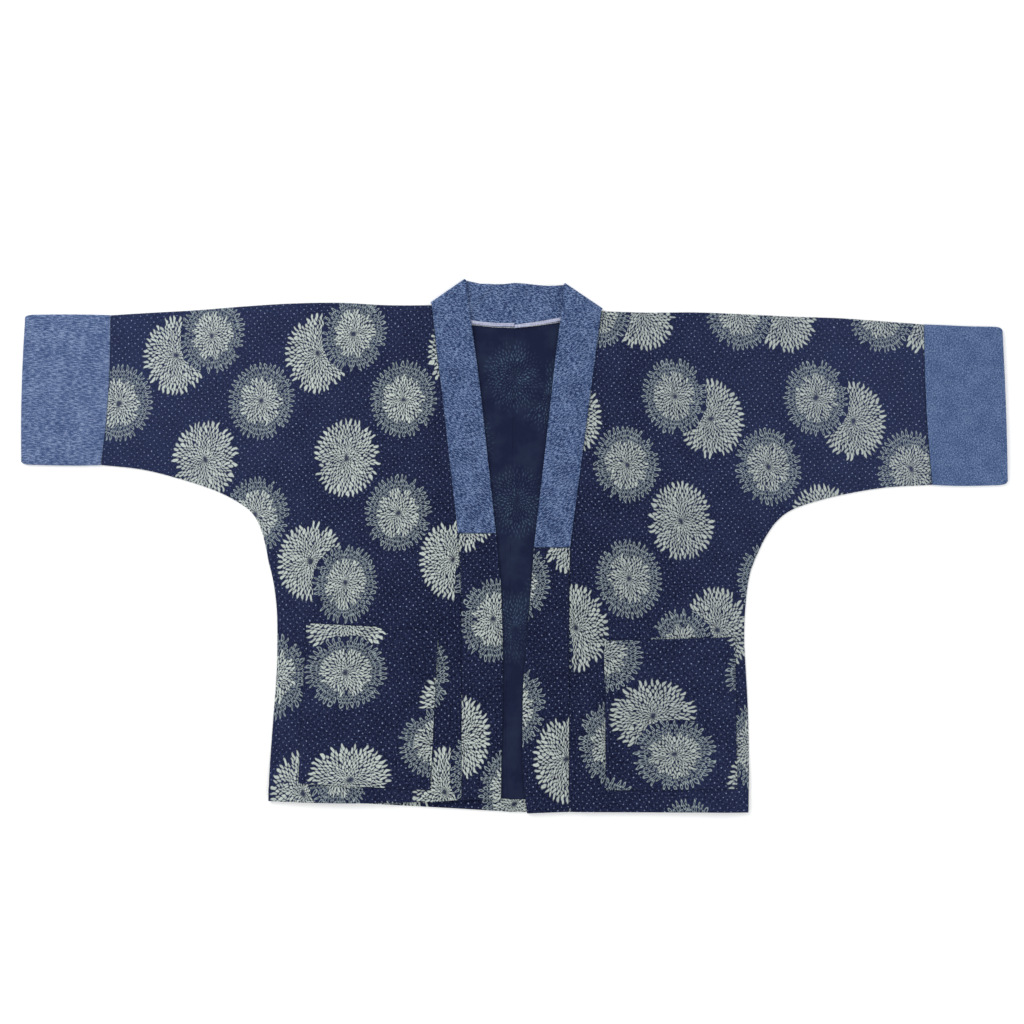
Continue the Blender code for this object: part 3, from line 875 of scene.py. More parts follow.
def cuff(table, seed):
    """Return the closed rings and cloth places of a flattened cuff."""
    radius = (CUFF_WALL + CUFF_HOLLOW) / 2
    middle = CUFF_WALL / 2 + radius
    inset = radius + CUFF_WALL / 2
    ridge, ridge_place, ridge_width = CUFF_RIDGE
    rows = spline(table, (), CUFF_STEPS)
    points = []
    places = []
    travelled = 0.0
    before = None
    for top_x, top_y, bottom_x, bottom_y, bow in rows:
        top = Vector((top_x, top_y))
        bottom = Vector((bottom_x, bottom_y))
        along = (bottom - top).normalized()
        across = Vector((-along.y, along.x))
        top += along * inset
        bottom -= along * inset
        if before is not None:
            travelled += ((top + bottom) / 2 - before).length
        before = (top + bottom) / 2
        ring = []
        for column in range(CUFF_COLUMNS + 1):
            share = column / CUFF_COLUMNS
            bulge = 4.0 * share * (1.0 - share)
            point = top.lerp(bottom, share) + across * (bow * bulge)
            rumple = ease(bulge * CUFF_CRUMPLE_START) * crumple(*point, seed)
            loft = CUFF_PUFF * math.sqrt(bulge) + rumple
            seam = ridge * bell(travelled, ridge_place, ridge_width) * ease(bulge * CUFF_RIDGE_START)
            ring.append((point.x, point.y, middle + radius + max(loft, 0.0) + seam))
        for step in range(1, CUFF_TURNS):
            angle = math.pi * step / CUFF_TURNS
            point = bottom + along * (radius * math.sin(angle))
            ring.append((point.x, point.y, middle + radius * math.cos(angle)))
        for column in range(CUFF_COLUMNS + 1):
            share = 1.0 - column / CUFF_COLUMNS
            point = top.lerp(bottom, share) + across * (bow * 4.0 * share * (1.0 - share))
            ring.append((point.x, point.y, middle - radius))
        for step in range(1, CUFF_TURNS):
            angle = math.pi * step / CUFF_TURNS
            point = top - along * (radius * math.sin(angle))
            ring.append((point.x, point.y, middle - radius * math.cos(angle)))
        ring.append(ring[0])
        points.append(ring)
        around = 0.0
        place = [(MM * travelled, 0.0)]
        for first, second in zip(ring[:-1], ring[1:]):
            around += (Vector(second) - Vector(first)).length
            place.append((MM * travelled, MM * around))
        places.append(place)
    return points, places


def tape(table):
    """Return the points and cloth places of half the neck tape."""
    height = COLLAR_THICK + GAP + TAPE_THICK / 2
    seam = spline([row[0:2] for row in table], (), TAPE_STEPS)
    free = spline([row[2:4] for row in table], (), TAPE_STEPS)
    points = []
    places = []
    for start, end in zip(seam, free):
        row = [(*blend(start, end, share), height) for share in TAPE_SHARES]
        points.append(row)
        places.append([(MM * x, MM * y) for x, y, z in row])
    return points, places


def pocket_shares(length):
    """Return shares along a pocket's side, close together at its turned edges."""
    rim = POCKET_RIM[-1]
    inside = length - 2 * rim
    count = int(inside / POCKET_STEP)
    middle = [rim + inside * step / count for step in range(1, count)]
    far = [length - distance for distance in reversed(POCKET_RIM)]
    return [distance / length for distance in POCKET_RIM + middle + far]


def pocket_depths(corners):
    """Return how far each row of a pocket lies from its upper edge."""
    depth = (Vector(corners[3]) - Vector(corners[0])).length
    return [depth * share for share in pocket_shares(depth)]


def pocket(name, corners, surface):
    """Return the points and print places of a patch pocket on its panel."""
    upper_left, upper_right, lower_right, lower_left = corners
    width = (Vector(upper_right) - Vector(upper_left)).length
    depth = (Vector(lower_left) - Vector(upper_left)).length
    groove, groove_place, groove_width = POCKET_GROOVE
    slack, slack_reach, even = POCKET_SLACK
    points = []
    places = []
    for down in pocket_shares(depth):
        left = blend(upper_left, lower_left, down)
        right = blend(upper_right, lower_right, down)
        row = []
        for side in pocket_shares(width):
            x, y = blend(left, right, side)
            hit = surface.ray_cast(Vector((x, y, 100.0)), Vector((0.0, 0.0, -1.0)))[0]
            from_side = width * min(side, 1.0 - side)
            from_end = depth * min(down, 1.0 - down)
            rim = min(from_side, from_end)
            turning = step_height(POCKET_TURNING, rim)
            top_hem = step_height(POCKET_HEM, depth * down)
            sunk = groove * bell(rim, groove_place, groove_width)
            loose = slack * ease(rim / slack_reach) * (even + crumple(x, y, SEEDS["pocket"]))
            lift = max(turning, top_hem) - sunk + loose
            row.append((x, y, hit.z + CLOTH + POCKET_CLEARANCE + max(lift, 0.0)))
        points.append(row)
        places.append([print_point(name, x, y) for x, y, z in row])
    return points, places


def make_cloth(name, points, places, thickness, rounding, materials, face_up):
    """Make a cloth piece with thickness and rounded edges from its middle surface."""
    long_way = len(points) - 1
    wide_way = len(points[0]) - 1
    mesh = bpy.data.meshes.new(name)
    grid = bmesh.new()
    bmesh.ops.create_grid(grid, x_segments=long_way, y_segments=wide_way, size=0.5)
    cloth = grid.loops.layers.uv.new("cloth")
    where = {}
    for vertex in grid.verts:
        row = round((vertex.co.x + 0.5) * long_way)
        column = round((vertex.co.y + 0.5) * wide_way)
        where[vertex] = (row, column)
    for face in grid.faces:
        face.smooth = True
        for loop in face.loops:
            row, column = where[loop.vert]
            loop[cloth].uv = places[row][column]
    for vertex, (row, column) in where.items():
        vertex.co = Vector(points[row][column]) * MM
    bmesh.ops.remove_doubles(grid, verts=grid.verts, dist=0.00001)
    if face_up is None:
        bmesh.ops.recalc_face_normals(grid, faces=grid.faces)
    else:
        grid.normal_update()
        lean = sum(face.normal.z * face.calc_area() for face in grid.faces)
        if (lean > 0) != face_up:
            bmesh.ops.reverse_faces(grid, faces=grid.faces)
    grid.to_mesh(mesh)
    grid.free()
    for material in materials:
        mesh.materials.append(material)
    draft = bpy.data.objects.new(name, mesh)
    bpy.context.scene.collection.objects.link(draft)
    wall = draft.modifiers.new("Wall", "SOLIDIFY")
    wall.thickness = thickness * MM
    wall.offset = 0.0
    wall.use_even_offset = True
    wall.use_quality_normals = True
    wall.material_offset = len(materials) - 1
    edges = draft.modifiers.new("Rounded edges", "BEVEL")
    edges.width = rounding * MM
    edges.segments = 3 if rounding >= FOLD_ROUND else 2
    edges.limit_method = "ANGLE"
    edges.angle_limit = math.radians(ROUNDED_ANGLE)
    edges.use_clamp_overlap = True
    edges.harden_normals = False
    return settle(draft)


def settle(draft):
    """Turn a piece with modifiers into a plain mesh."""
    evaluated = draft.evaluated_get(bpy.context.evaluated_depsgraph_get())
    mesh = bpy.data.meshes.new_from_object(evaluated)
    draft.modifiers.clear()
    draft.data = mesh
    return draft


class Shade:
    """Small helper that adds and links nodes in one tree."""

    def __init__(self, tree):
        self.tree = tree

    def add(self, kind, **settings):
        """Add a node and set its properties."""
        node = self.tree.nodes.new(kind)
        for key, value in settings.items():
            setattr(node, key, value)
        return node

    def feed(self, socket, value):
        """Link an output to a socket, or set its value."""
        if value is None:
            return
        if isinstance(value, bpy.types.NodeSocket):
            self.tree.links.new(value, socket)
        else:
            socket.default_value = value

    def math(self, operation, first, second=None, third=None):
        """Return the result of a math node."""
        node = self.add("ShaderNodeMath", operation=operation)
        for socket, value in zip(node.inputs, (first, second, third)):
            self.feed(socket, value)
        return node.outputs[0]

    def vector(self, operation, first, second=None, third=None):
        """Return the result of a vector math node."""
        node = self.add("ShaderNodeVectorMath", operation=operation)
        for socket, value in zip(node.inputs, (first, second, third)):
            self.feed(socket, value)
        return node.outputs["Value" if operation == "LENGTH" else "Vector"]

    def remap(self, value, from_low, from_high, to_low=0.0, to_high=1.0):
        """Return a value moved from one range to another and kept inside it."""
        node = self.add("ShaderNodeMapRange")
        for socket, given in zip(node.inputs, (value, from_low, from_high, to_low, to_high)):
            self.feed(socket, given)
        return node.outputs[0]

    def mix_colour(self, share, first, second):
        """Return a mix of two colours."""
        node = self.add("ShaderNodeMix", data_type="RGBA")
        self.feed(node.inputs[0], share)
        self.feed(node.inputs[6], first)
        self.feed(node.inputs[7], second)
        return node.outputs[2]

    def mix_vector(self, share, first, second):
        """Return a mix of two vectors."""
        node = self.add("ShaderNodeMix", data_type="VECTOR")
        self.feed(node.inputs[0], share)
        self.feed(node.inputs[4], first)
        self.feed(node.inputs[5], second)
        return node.outputs[1]

    def speckle(self, vector, scale, detail=1.0, roughness=0.5, dimensions="2D"):
        """Return a noise node."""
        node = self.add("ShaderNodeTexNoise", noise_dimensions=dimensions)
        self.feed(node.inputs["Vector"], vector)
        self.feed(node.inputs["Scale"], scale)
        self.feed(node.inputs["Detail"], detail)
        self.feed(node.inputs["Roughness"], roughness)
        return node

    def mapped(self, vector, turn, scale):
        """Return a vector scaled and turned."""
        node = self.add("ShaderNodeMapping")
        self.feed(node.inputs["Vector"], vector)
        self.feed(node.inputs["Rotation"], (0.0, 0.0, turn))
        self.feed(node.inputs["Scale"], scale)
        return node.outputs[0]


def new_group(name, inputs, outputs):
    """Return a shader node group with named sockets, and its two end nodes."""
    tree = bpy.data.node_groups.new(name, "ShaderNodeTree")
    for label, kind, value in inputs:
        socket = tree.interface.new_socket(label, in_out="INPUT", socket_type=kind)
        if value is not None:
            socket.default_value = value
    for label, kind in outputs:
        tree.interface.new_socket(label, in_out="OUTPUT", socket_type=kind)
    shade = Shade(tree)
    return shade, shade.add("NodeGroupInput"), shade.add("NodeGroupOutput")


def petal_lattice_group():
    """Return the group that lays staggered oval petals round a heart."""
    shade, given, result = new_group(
        "petal_lattice",
        (
            ("Radius", "NodeSocketFloat", None),
            ("Turn", "NodeSocketFloat", None),
            ("Petals", "NodeSocketFloat", None),
            ("Rows", "NodeSocketFloat", None),
            ("Start", "NodeSocketFloat", None),
        ),
        (("Cell", "NodeSocketVector"), ("Place", "NodeSocketVector"), ("Row", "NodeSocketFloat")),
    )
    share = shade.math("DIVIDE", given.outputs["Radius"], given.outputs["Start"])
    row = shade.math("MULTIPLY", shade.math("LOGARITHM", share, math.e), given.outputs["Rows"])
    along = shade.math("MULTIPLY", given.outputs["Turn"], given.outputs["Petals"])
    pair = shade.add("ShaderNodeCombineXYZ")
    shade.feed(pair.inputs[0], shade.math("MULTIPLY_ADD", row, 0.5, along))
    shade.feed(pair.inputs[1], shade.math("MULTIPLY_ADD", row, -0.5, along))
    cell = shade.vector("FLOOR", pair.outputs[0])
    place = shade.vector("SUBTRACT", pair.outputs[0], cell)
    place = shade.vector("SUBTRACT", place, (0.5, 0.5, 0.0))
    parts = shade.add("ShaderNodeSeparateXYZ")
    shade.feed(parts.inputs[0], cell)
    number = shade.math("SUBTRACT", parts.outputs[0], parts.outputs[1])
    name = shade.add("ShaderNodeCombineXYZ")
    round_place = shade.math("FLOORED_MODULO", parts.outputs[0], given.outputs["Petals"])
    shade.feed(name.inputs[0], round_place)
    shade.feed(name.inputs[1], number)
    shade.feed(result.inputs["Cell"], name.outputs[0])
    shade.feed(result.inputs["Place"], place)
    shade.feed(result.inputs["Row"], number)
    return shade.tree


def flower_here(shade, point):
    """Return where a point of the print lies in the uppermost flower, with its mark."""
    half = (REPEAT_WIDTH * MM / 2, REPEAT_HEIGHT * MM / 2)
    chosen = NOWHERE
    for index, (x, y, wide, high, whole) in enumerate(FLOWERS):
        centre = (x * MM, y * MM)
        wide *= MM
        high *= MM
        mark = FLOWER_MARK * (index + 1) * (1.0 if whole else -1.0)
        upper = (centre[0] + half[0], centre[1] + half[1], 1.0)
        lower = (centre[0] - half[0], centre[1] - half[1], -1.0)
        wrapped = shade.vector("WRAP", point, upper, lower)
        local = shade.vector(
            "MULTIPLY_ADD",
            wrapped,
            (1.0 / wide, 1.0 / high, 0.0),
            (-centre[0] / wide, -centre[1] / high, mark),
        )
        limit = 1.0
        if not whole:
            covered = shade.math("LESS_THAN", shade.vector("LENGTH", chosen), COVER_RADIUS)
            limit = shade.math("MULTIPLY_ADD", covered, COVER_TRIM, 1.0)
        inside = shade.math("LESS_THAN", shade.vector("LENGTH", local), limit)
        chosen = shade.mix_vector(inside, chosen, local)
    return chosen


def petal_here(shade, radius, turn):
    """Return the cell of the petal at a point of a flower, the place in it and its row."""
    lattice = petal_lattice_group()
    cell = place = row = None
    for petals, rows, start, last_row in reversed(PETAL_ZONES):
        zone = shade.add("ShaderNodeGroup", node_tree=lattice)
        for label, value in (
            ("Radius", radius), ("Turn", turn), ("Petals", petals), ("Rows", rows), ("Start", start)
        ):
            shade.feed(zone.inputs[label], value)
        if cell is None:
            cell, place, row = zone.outputs
        else:
            here = shade.math("GREATER_THAN", zone.outputs["Row"], last_row)
            cell = shade.mix_vector(here, cell, zone.outputs["Cell"])
            place = shade.mix_vector(here, place, zone.outputs["Place"])
            row = zone.outputs["Row"]
    return cell, place, row


def petal_shape(shade, place):
    """Return how far a place lies from the middle of its oval petal, 1 at the rim."""
    sides = shade.add("ShaderNodeSeparateXYZ")
    shade.feed(sides.inputs[0], place)
    lengthwise = shade.math("SUBTRACT", sides.outputs[0], sides.outputs[1])
    crosswise = shade.math("ADD", sides.outputs[0], sides.outputs[1])
    crosswise = shade.math(
        "MULTIPLY", crosswise, shade.math("MULTIPLY_ADD", lengthwise, PETAL_TAPER, 1.0)
    )
    oval = shade.add("ShaderNodeCombineXYZ")
    shade.feed(oval.inputs[0], shade.math("DIVIDE", lengthwise, PETAL_LENGTH))
    shade.feed(oval.inputs[1], shade.math("DIVIDE", crosswise, PETAL_WIDTH))
    return shade.vector("LENGTH", oval.outputs[0])


def dots_here(shade, cloth, unrest, radius):
    """Return the pale dots of the ground between the flowers."""
    loose = shade.vector("MULTIPLY_ADD", unrest, (DOT_WAVER, DOT_WAVER, 0.0), cloth)
    grid = shade.mapped(loose, math.radians(DOT_ANGLE), (1.0 / MM / DOT_PITCH,) * 3)
    cell = shade.vector("FLOOR", grid)
    place = shade.vector("SUBTRACT", shade.vector("SUBTRACT", grid, cell), (0.5, 0.5, 0.0))
    flat = shade.vector("MULTIPLY", place, (1.0, 1.0, 0.0))
    chance = shade.add("ShaderNodeTexWhiteNoise", noise_dimensions="2D")
    shade.feed(chance.inputs["Vector"], cell)
    power, varying, steady = DOT_FADING
    seen = shade.math("POWER", chance.outputs["Value"], power)
    seen = shade.math("MULTIPLY_ADD", seen, varying, steady)
    dot = shade.remap(shade.vector("LENGTH", flat), DOT_RIM, DOT_HEART)
    bare = shade.math("GREATER_THAN", radius, DOTS_FROM)
    return shade.math("MULTIPLY", shade.math("MULTIPLY", dot, bare), seen)


def print_group():
    """Return the group that draws the chrysanthemums and the dotted ground."""
    shade, given, result = new_group(
        "chrysanthemum_print",
        (("Cloth", "NodeSocketVector", None),),
        (
            ("Bright Petal", "NodeSocketFloat"),
            ("Dim Petal", "NodeSocketFloat"),
            ("Vein", "NodeSocketFloat"),
            ("Dot", "NodeSocketFloat"),
        ),
    )
    cloth = given.outputs["Cloth"]
    unrest = shade.speckle(cloth, WAVER_SCALE).outputs["Color"]
    unrest = shade.vector("SUBTRACT", unrest, (0.5, 0.5, 0.5))
    point = shade.vector("MULTIPLY_ADD", unrest, (FLOWER_WAVER, FLOWER_WAVER, 0.0), cloth)
    chosen = flower_here(shade, point)
    parts = shade.add("ShaderNodeSeparateXYZ")
    shade.feed(parts.inputs[0], chosen)
    x, y, mark = parts.outputs
    radius = shade.math("MAXIMUM", shade.vector("LENGTH", chosen), 0.01)
    turn = shade.math("MULTIPLY_ADD", shade.math("ARCTAN2", y, x), 0.5 / math.pi, 0.5)
    cell, place, row = petal_here(shade, radius, turn)

    tagged = shade.add("ShaderNodeCombineXYZ")
    shade.feed(tagged.inputs[2], shade.math("MULTIPLY", mark, MARK_SPREAD))
    draw = shade.add("ShaderNodeTexWhiteNoise", noise_dimensions="3D")
    shade.feed(draw.inputs["Vector"], shade.vector("ADD", cell, tagged.outputs[0]))
    chance = draw.outputs["Value"]

    shape = shade.math("MULTIPLY_ADD", chance, PETAL_SHRINK, petal_shape(shade, place))
    petal = shade.remap(shape, *PETAL_EDGE)
    outline = shade.math(
        "MULTIPLY", shade.remap(shape, *OUTLINE_OUTSIDE), shade.remap(shape, *OUTLINE_INSIDE)
    )
    vein = shade.remap(shape, *VEIN_EDGE)
    worn_row = shade.math("MULTIPLY_ADD", chance, RIM_RAGGED, row)
    flower = shade.math("LESS_THAN", worn_row, RIM_ROW)
    heart = shade.math("MULTIPLY", flower, shade.remap(radius, *HEART))
    petal = shade.math("MULTIPLY", petal, heart)
    outline = shade.math("MULTIPLY", outline, heart)
    vein = shade.math("MULTIPLY", vein, heart)
    vein = shade.math("MULTIPLY", vein, shade.remap(radius, *VEIN_REACH))
    two_tone = shade.math("LESS_THAN", mark, -FLOWER_MARK / 2)
    tip = shade.math("MULTIPLY_ADD", chance, RING_RAGGED, row)
    outside = shade.math("MULTIPLY", two_tone, shade.math("GREATER_THAN", tip, RING_ROW))
    inner = shade.math("SUBTRACT", 1.0, outside)
    strength = shade.math("MULTIPLY_ADD", chance, PETAL_DULLING, 1.0)
    hollow = shade.math("MULTIPLY", petal, shade.remap(shape, *PETAL_HOLLOW))
    bright = shade.math("MULTIPLY", shade.math("MULTIPLY", hollow, inner), strength)
    dim = shade.math("MULTIPLY", shade.math("MULTIPLY", outline, outside), strength)
    shade.feed(result.inputs["Bright Petal"], bright)
    shade.feed(result.inputs["Dim Petal"], dim)
    shade.feed(result.inputs["Vein"], vein)
    shade.feed(result.inputs["Dot"], dots_here(shade, cloth, unrest, radius))
    return shade.tree


def weave_group():
    """Return the group that gives plain-woven threads and their slubs."""
    shade, given, result = new_group(
        "plain_weave",
        (("Cloth", "NodeSocketVector", None), ("Threads", "NodeSocketFloat", COTTON_THREADS)),
        (("Height", "NodeSocketFloat"), ("Slub", "NodeSocketFloat")),
    )
    cloth = given.outputs["Cloth"]
    parts = shade.add("ShaderNodeSeparateXYZ")
    shade.feed(parts.inputs[0], cloth)
    pace = shade.math("MULTIPLY", given.outputs["Threads"], math.pi)
    warp = shade.math("SINE", shade.math("MULTIPLY", parts.outputs[0], pace))
    weft = shade.math("SINE", shade.math("MULTIPLY", parts.outputs[1], pace))
    cross = shade.math("MULTIPLY", warp, weft)
    long_place = shade.mapped(cloth, 0.0, (1.0, SLUB_LENGTH, 1.0))
    long_slub = shade.speckle(long_place, SLUB_SCALE, 2.0).outputs[0]
    wide_place = shade.mapped(cloth, 0.0, (SLUB_LENGTH, 1.0, 1.0))
    wide_slub = shade.speckle(wide_place, SLUB_SCALE, 2.0).outputs[0]
    most = shade.math("MAXIMUM", long_slub, wide_slub)
    both = shade.math("MULTIPLY", shade.math("ADD", long_slub, wide_slub), 0.25)
    slub = shade.math("MULTIPLY_ADD", most, 0.5, both)
    shade.feed(result.inputs["Height"], shade.math("MULTIPLY_ADD", slub, SLUB_RELIEF, cross))
    shade.feed(result.inputs["Slub"], shade.remap(slub, *SLUB_RANGE))
    return shade.tree


def cloth_material(name, roughness, sheen):
    """Return a material with its tree helper, shader and cloth coordinates."""
    material = bpy.data.materials.new(name)
    material.use_nodes = True
    shade = Shade(material.node_tree)
    shader = material.node_tree.nodes["Principled BSDF"]
    shader.inputs["Roughness"].default_value = roughness
    shader.inputs["Sheen Weight"].default_value = sheen
    shader.inputs["Sheen Roughness"].default_value = SHEEN_ROUGHNESS
    shader.inputs["Specular IOR Level"].default_value = COTTON_GLOSS
    place = shade.add("ShaderNodeUVMap", uv_map="cloth")
    return material, shade, shader, place.outputs[0]


def add_group(shade, tree, cloth):
    """Place a node group that reads the cloth coordinates."""
    node = shade.add("ShaderNodeGroup", node_tree=tree)
    shade.feed(node.inputs["Cloth"], cloth)
    return node


def add_bump(shade, shader, height, strength, distance):
    """Give the shader a bump from a height."""
    bump = shade.add("ShaderNodeBump")
    bump.inputs["Strength"].default_value = strength
    bump.inputs["Distance"].default_value = distance
    shade.feed(bump.inputs["Height"], height)
    shade.feed(shader.inputs["Normal"], bump.outputs[0])


def printed_material(flowers, weave):
    """Return the right side of the indigo printed cotton."""
    material, shade, shader, cloth = cloth_material("indigo_print_cotton_face", *FACE_FINISH)
    pattern = add_group(shade, flowers, cloth)
    thread = add_group(shade, weave, cloth)
    mottle = shade.speckle(cloth, *FACE_MOTTLES).outputs[0]
    fine = shade.speckle(cloth, *FACE_WEAR).outputs[0]
    where = shade.add("ShaderNodeTexCoord").outputs["Object"]
    # Painted light: the indigo is mixed lighter outwards from the lower middle; real mottles and
    # fine wear are added on top
    reach = shade.vector("MULTIPLY_ADD", where, PAINTED_LIGHT_STRETCH, PAINTED_LIGHT_SHIFT)
    fade = shade.remap(shade.vector("LENGTH", reach), *PAINTED_LIGHT_OUTWARD)
    fade = shade.math("ADD", fade, shade.remap(mottle, *FADE_MOTTLE))
    fade = shade.math("ADD", fade, shade.remap(fine, *FADE_FINE))
    ground = shade.mix_colour(fade, INDIGO, INDIGO_FADED_AND_LIT)
    colour = shade.mix_colour(pattern.outputs["Dot"], ground, DOT)
    colour = shade.mix_colour(pattern.outputs["Dim Petal"], colour, PETAL_DIM)
    # Painted shade: the petals grow darker on the left half of the coat, on top of their real wear
    sides = shade.add("ShaderNodeSeparateXYZ")
    shade.feed(sides.inputs[0], where)
    painted_shade = shade.remap(sides.outputs[0], *PETAL_PAINTED_SHADE)
    wear_and_painted_shade = shade.math("MULTIPLY", shade.remap(fine, *PETAL_WEAR), painted_shade)
    petals = shade.math("MULTIPLY", pattern.outputs["Bright Petal"], wear_and_painted_shade)
    colour = shade.mix_colour(petals, colour, PETAL)
    shade.feed(shader.inputs["Base Color"], colour)
    add_bump(shade, shader, thread.outputs["Height"], *COTTON_RELIEF)
    return material


def reverse_material(flowers, weave):
    """Return the wrong side of the printed cotton, where the print barely shows."""
    material, shade, shader, cloth = cloth_material("indigo_print_cotton_back", *REVERSE_FINISH)
    pattern = add_group(shade, flowers, cloth)
    thread = add_group(shade, weave, cloth)
    mottle = shade.speckle(cloth, *REVERSE_MOTTLES).outputs[0]
    patchy = shade.remap(mottle, *REVERSE_PATCHES)
    sides = shade.add("ShaderNodeSeparateXYZ")
    shade.feed(sides.inputs[0], shade.add("ShaderNodeTexCoord").outputs["Object"])
    patchy = shade.math("MULTIPLY", patchy, shade.remap(sides.outputs[1], *REVERSE_FADE))
    faint = shade.math("MULTIPLY", pattern.outputs["Vein"], patchy)
    faint = shade.math(
        "MULTIPLY_ADD", faint, REVERSE_STRENGTH, shade.remap(mottle, *REVERSE_MOTTLE)
    )
    shade.feed(shader.inputs["Base Color"], shade.mix_colour(faint, REVERSE, REVERSE_FLOWER))
    add_bump(shade, shader, thread.outputs["Height"], *COTTON_RELIEF)
    return material


def chambray_material(name, weave, look):
    """Return a slubby chambray; its slubs run along the cloth's first axis."""
    deep, middle, pale, crossing, length, contrast = look
    material, shade, shader, cloth = cloth_material(name, *CHAMBRAY_FINISH)
    thread = add_group(shade, weave, cloth)
    thread.inputs["Threads"].default_value = CHAMBRAY_THREADS
    tone = 0.5
    for (scale, detail, weight), stretch, share in (
        (SLUBS_ALONG, (length, 1.0, 1.0), 1.0),
        (SLUBS_ACROSS, (1.0, length, 1.0), crossing),
        (GRAIN, None, 1.0),
        (MOTTLE, None, 1.0),
    ):
        place = shade.mapped(cloth, 0.0, stretch) if stretch else cloth
        part = shade.speckle(place, scale, detail, TONE_ROUGHNESS).outputs[0]
        part = shade.math("SUBTRACT", part, 0.5)
        tone = shade.math("MULTIPLY_ADD", part, weight * share * contrast, tone)
    low = shade.mix_colour(shade.remap(tone, 0.0, 0.5), deep, middle)
    colour = shade.mix_colour(shade.remap(tone, 0.5, 1.0), low, pale)
    shade.feed(shader.inputs["Base Color"], colour)
    height = shade.math("MULTIPLY_ADD", tone, TONE_RELIEF, thread.outputs["Height"])
    add_bump(shade, shader, height, *CHAMBRAY_RELIEF)
    return material


def tape_material(weave):
    """Return the pale selvedge at the neck."""
    material, shade, shader, cloth = cloth_material("pale_cotton_tape_cloth", *TAPE_FINISH)
    thread = add_group(shade, weave, cloth)
    colour = shade.mix_colour(thread.outputs["Slub"], TAPE_SHADE, TAPE_PALE)
    shade.feed(shader.inputs["Base Color"], colour)
    add_bump(shade, shader, thread.outputs["Height"], *TAPE_RELIEF)
    return material


def thread_material(name, colour):
    """Return a twisted sewing thread."""
    material = bpy.data.materials.new(name)
    material.use_nodes = True
    shade = Shade(material.node_tree)
    shader = material.node_tree.nodes["Principled BSDF"]
    shader.inputs["Roughness"].default_value = THREAD_ROUGHNESS
    place = shade.add("ShaderNodeTexCoord").outputs["Object"]
    tone = shade.speckle(place, THREAD_TWIST, dimensions="3D").outputs[0]
    # Painted shade: the hollows of the thread's twist, low in the same noise as its bump, are darker
    painted_shade_colour = tuple(channel * THREAD_HOLLOW_SHADE for channel in colour[:3]) + (1.0,)
    shade.feed(shader.inputs["Base Color"], shade.mix_colour(tone, painted_shade_colour, colour))
    add_bump(shade, shader, tone, *THREAD_RELIEF)
    return material


def stitch_group():
    """Return the geometry nodes that lay short stitches along a line of edges."""
    tree = bpy.data.node_groups.new("running_stitch", "GeometryNodeTree")
    for label, kind in (
        ("Line", "NodeSocketGeometry"), ("Spacing", "NodeSocketFloat"),
        ("Thread", "NodeSocketMaterial"), ("Seed", "NodeSocketInt"),
    ):
        tree.interface.new_socket(label, in_out="INPUT", socket_type=kind)
    tree.interface.new_socket("Stitches", in_out="OUTPUT", socket_type="NodeSocketGeometry")
    shade = Shade(tree)
    given = shade.add("NodeGroupInput").outputs
    result = shade.add("NodeGroupOutput")
    curve = shade.add("GeometryNodeMeshToCurve")
    shade.feed(curve.inputs["Mesh"], given["Line"])
    points = shade.add("GeometryNodeResampleCurve", mode="LENGTH")
    shade.feed(points.inputs["Curve"], curve.outputs[0])
    shade.feed(points.inputs["Length"], given["Spacing"])
    thread = shade.add("GeometryNodeMeshUVSphere")
    thread.inputs["Segments"].default_value = 6
    thread.inputs["Rings"].default_value = 5
    thread.inputs["Radius"].default_value = MM
    along = shade.add("GeometryNodeInputTangent").outputs[0]
    aim = shade.add("FunctionNodeAlignRotationToVector", axis="Z")
    shade.feed(aim.inputs["Vector"], along)
    size = shade.add("FunctionNodeRandomValue", data_type="FLOAT_VECTOR")
    shade.feed(size.inputs[0], STITCH_LEAST)
    shade.feed(size.inputs[1], STITCH_MOST)
    shade.feed(size.inputs["Seed"], given["Seed"])
    placed = shade.add("GeometryNodeInstanceOnPoints")
    shade.feed(placed.inputs["Points"], points.outputs[0])
    shade.feed(placed.inputs["Instance"], thread.outputs["Mesh"])
    shade.feed(placed.inputs["Rotation"], aim.outputs[0])
    shade.feed(placed.inputs["Scale"], size.outputs["Value"])
    real = shade.add("GeometryNodeRealizeInstances")
    shade.feed(real.inputs[0], placed.outputs[0])
    smooth = shade.add("GeometryNodeSetShadeSmooth")
    shade.feed(smooth.inputs[0], real.outputs[0])
    dressed = shade.add("GeometryNodeSetMaterial")
    shade.feed(dressed.inputs["Geometry"], smooth.outputs[0])
    shade.feed(dressed.inputs["Material"], given["Thread"])
    shade.feed(result.inputs["Stitches"], dressed.outputs[0])
    return tree


def sew(name, lines, group, thread, seed):
    """Sew running stitches along lines of points, and return them as one piece."""
    mesh = bpy.data.meshes.new(name)
    places = [Vector(point) * MM for line in lines for point in line]
    edges = []
    first = 0
    for line in lines:
        edges += [(first + k, first + k + 1) for k in range(len(line) - 1)]
        first += len(line)
    mesh.from_pydata(places, edges, [])
    piece = bpy.data.objects.new(name, mesh)
    bpy.context.scene.collection.objects.link(piece)
    sewing = piece.modifiers.new("Sewing", "NODES")
    sewing.node_group = group
    wanted = {"Spacing": STITCH_SPACING * MM, "Thread": thread, "Seed": seed}
    for socket in group.interface.items_tree:
        if socket.in_out == "INPUT" and socket.name in wanted:
            sewing[socket.identifier] = wanted[socket.name]
    settle(piece)
    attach(piece, "root")
    return piece


def line_along(points, above):
    """Return the stitch line near the seam of a strip, a little above its middle."""
    line = []
    for row in points:
        place = STITCH_SHARE * (len(row) - 1)
        column = min(int(place), len(row) - 2)
        x, y, z = blend(row[column], row[column + 1], place - column)
        line.append((x, y, z + above))
    return line


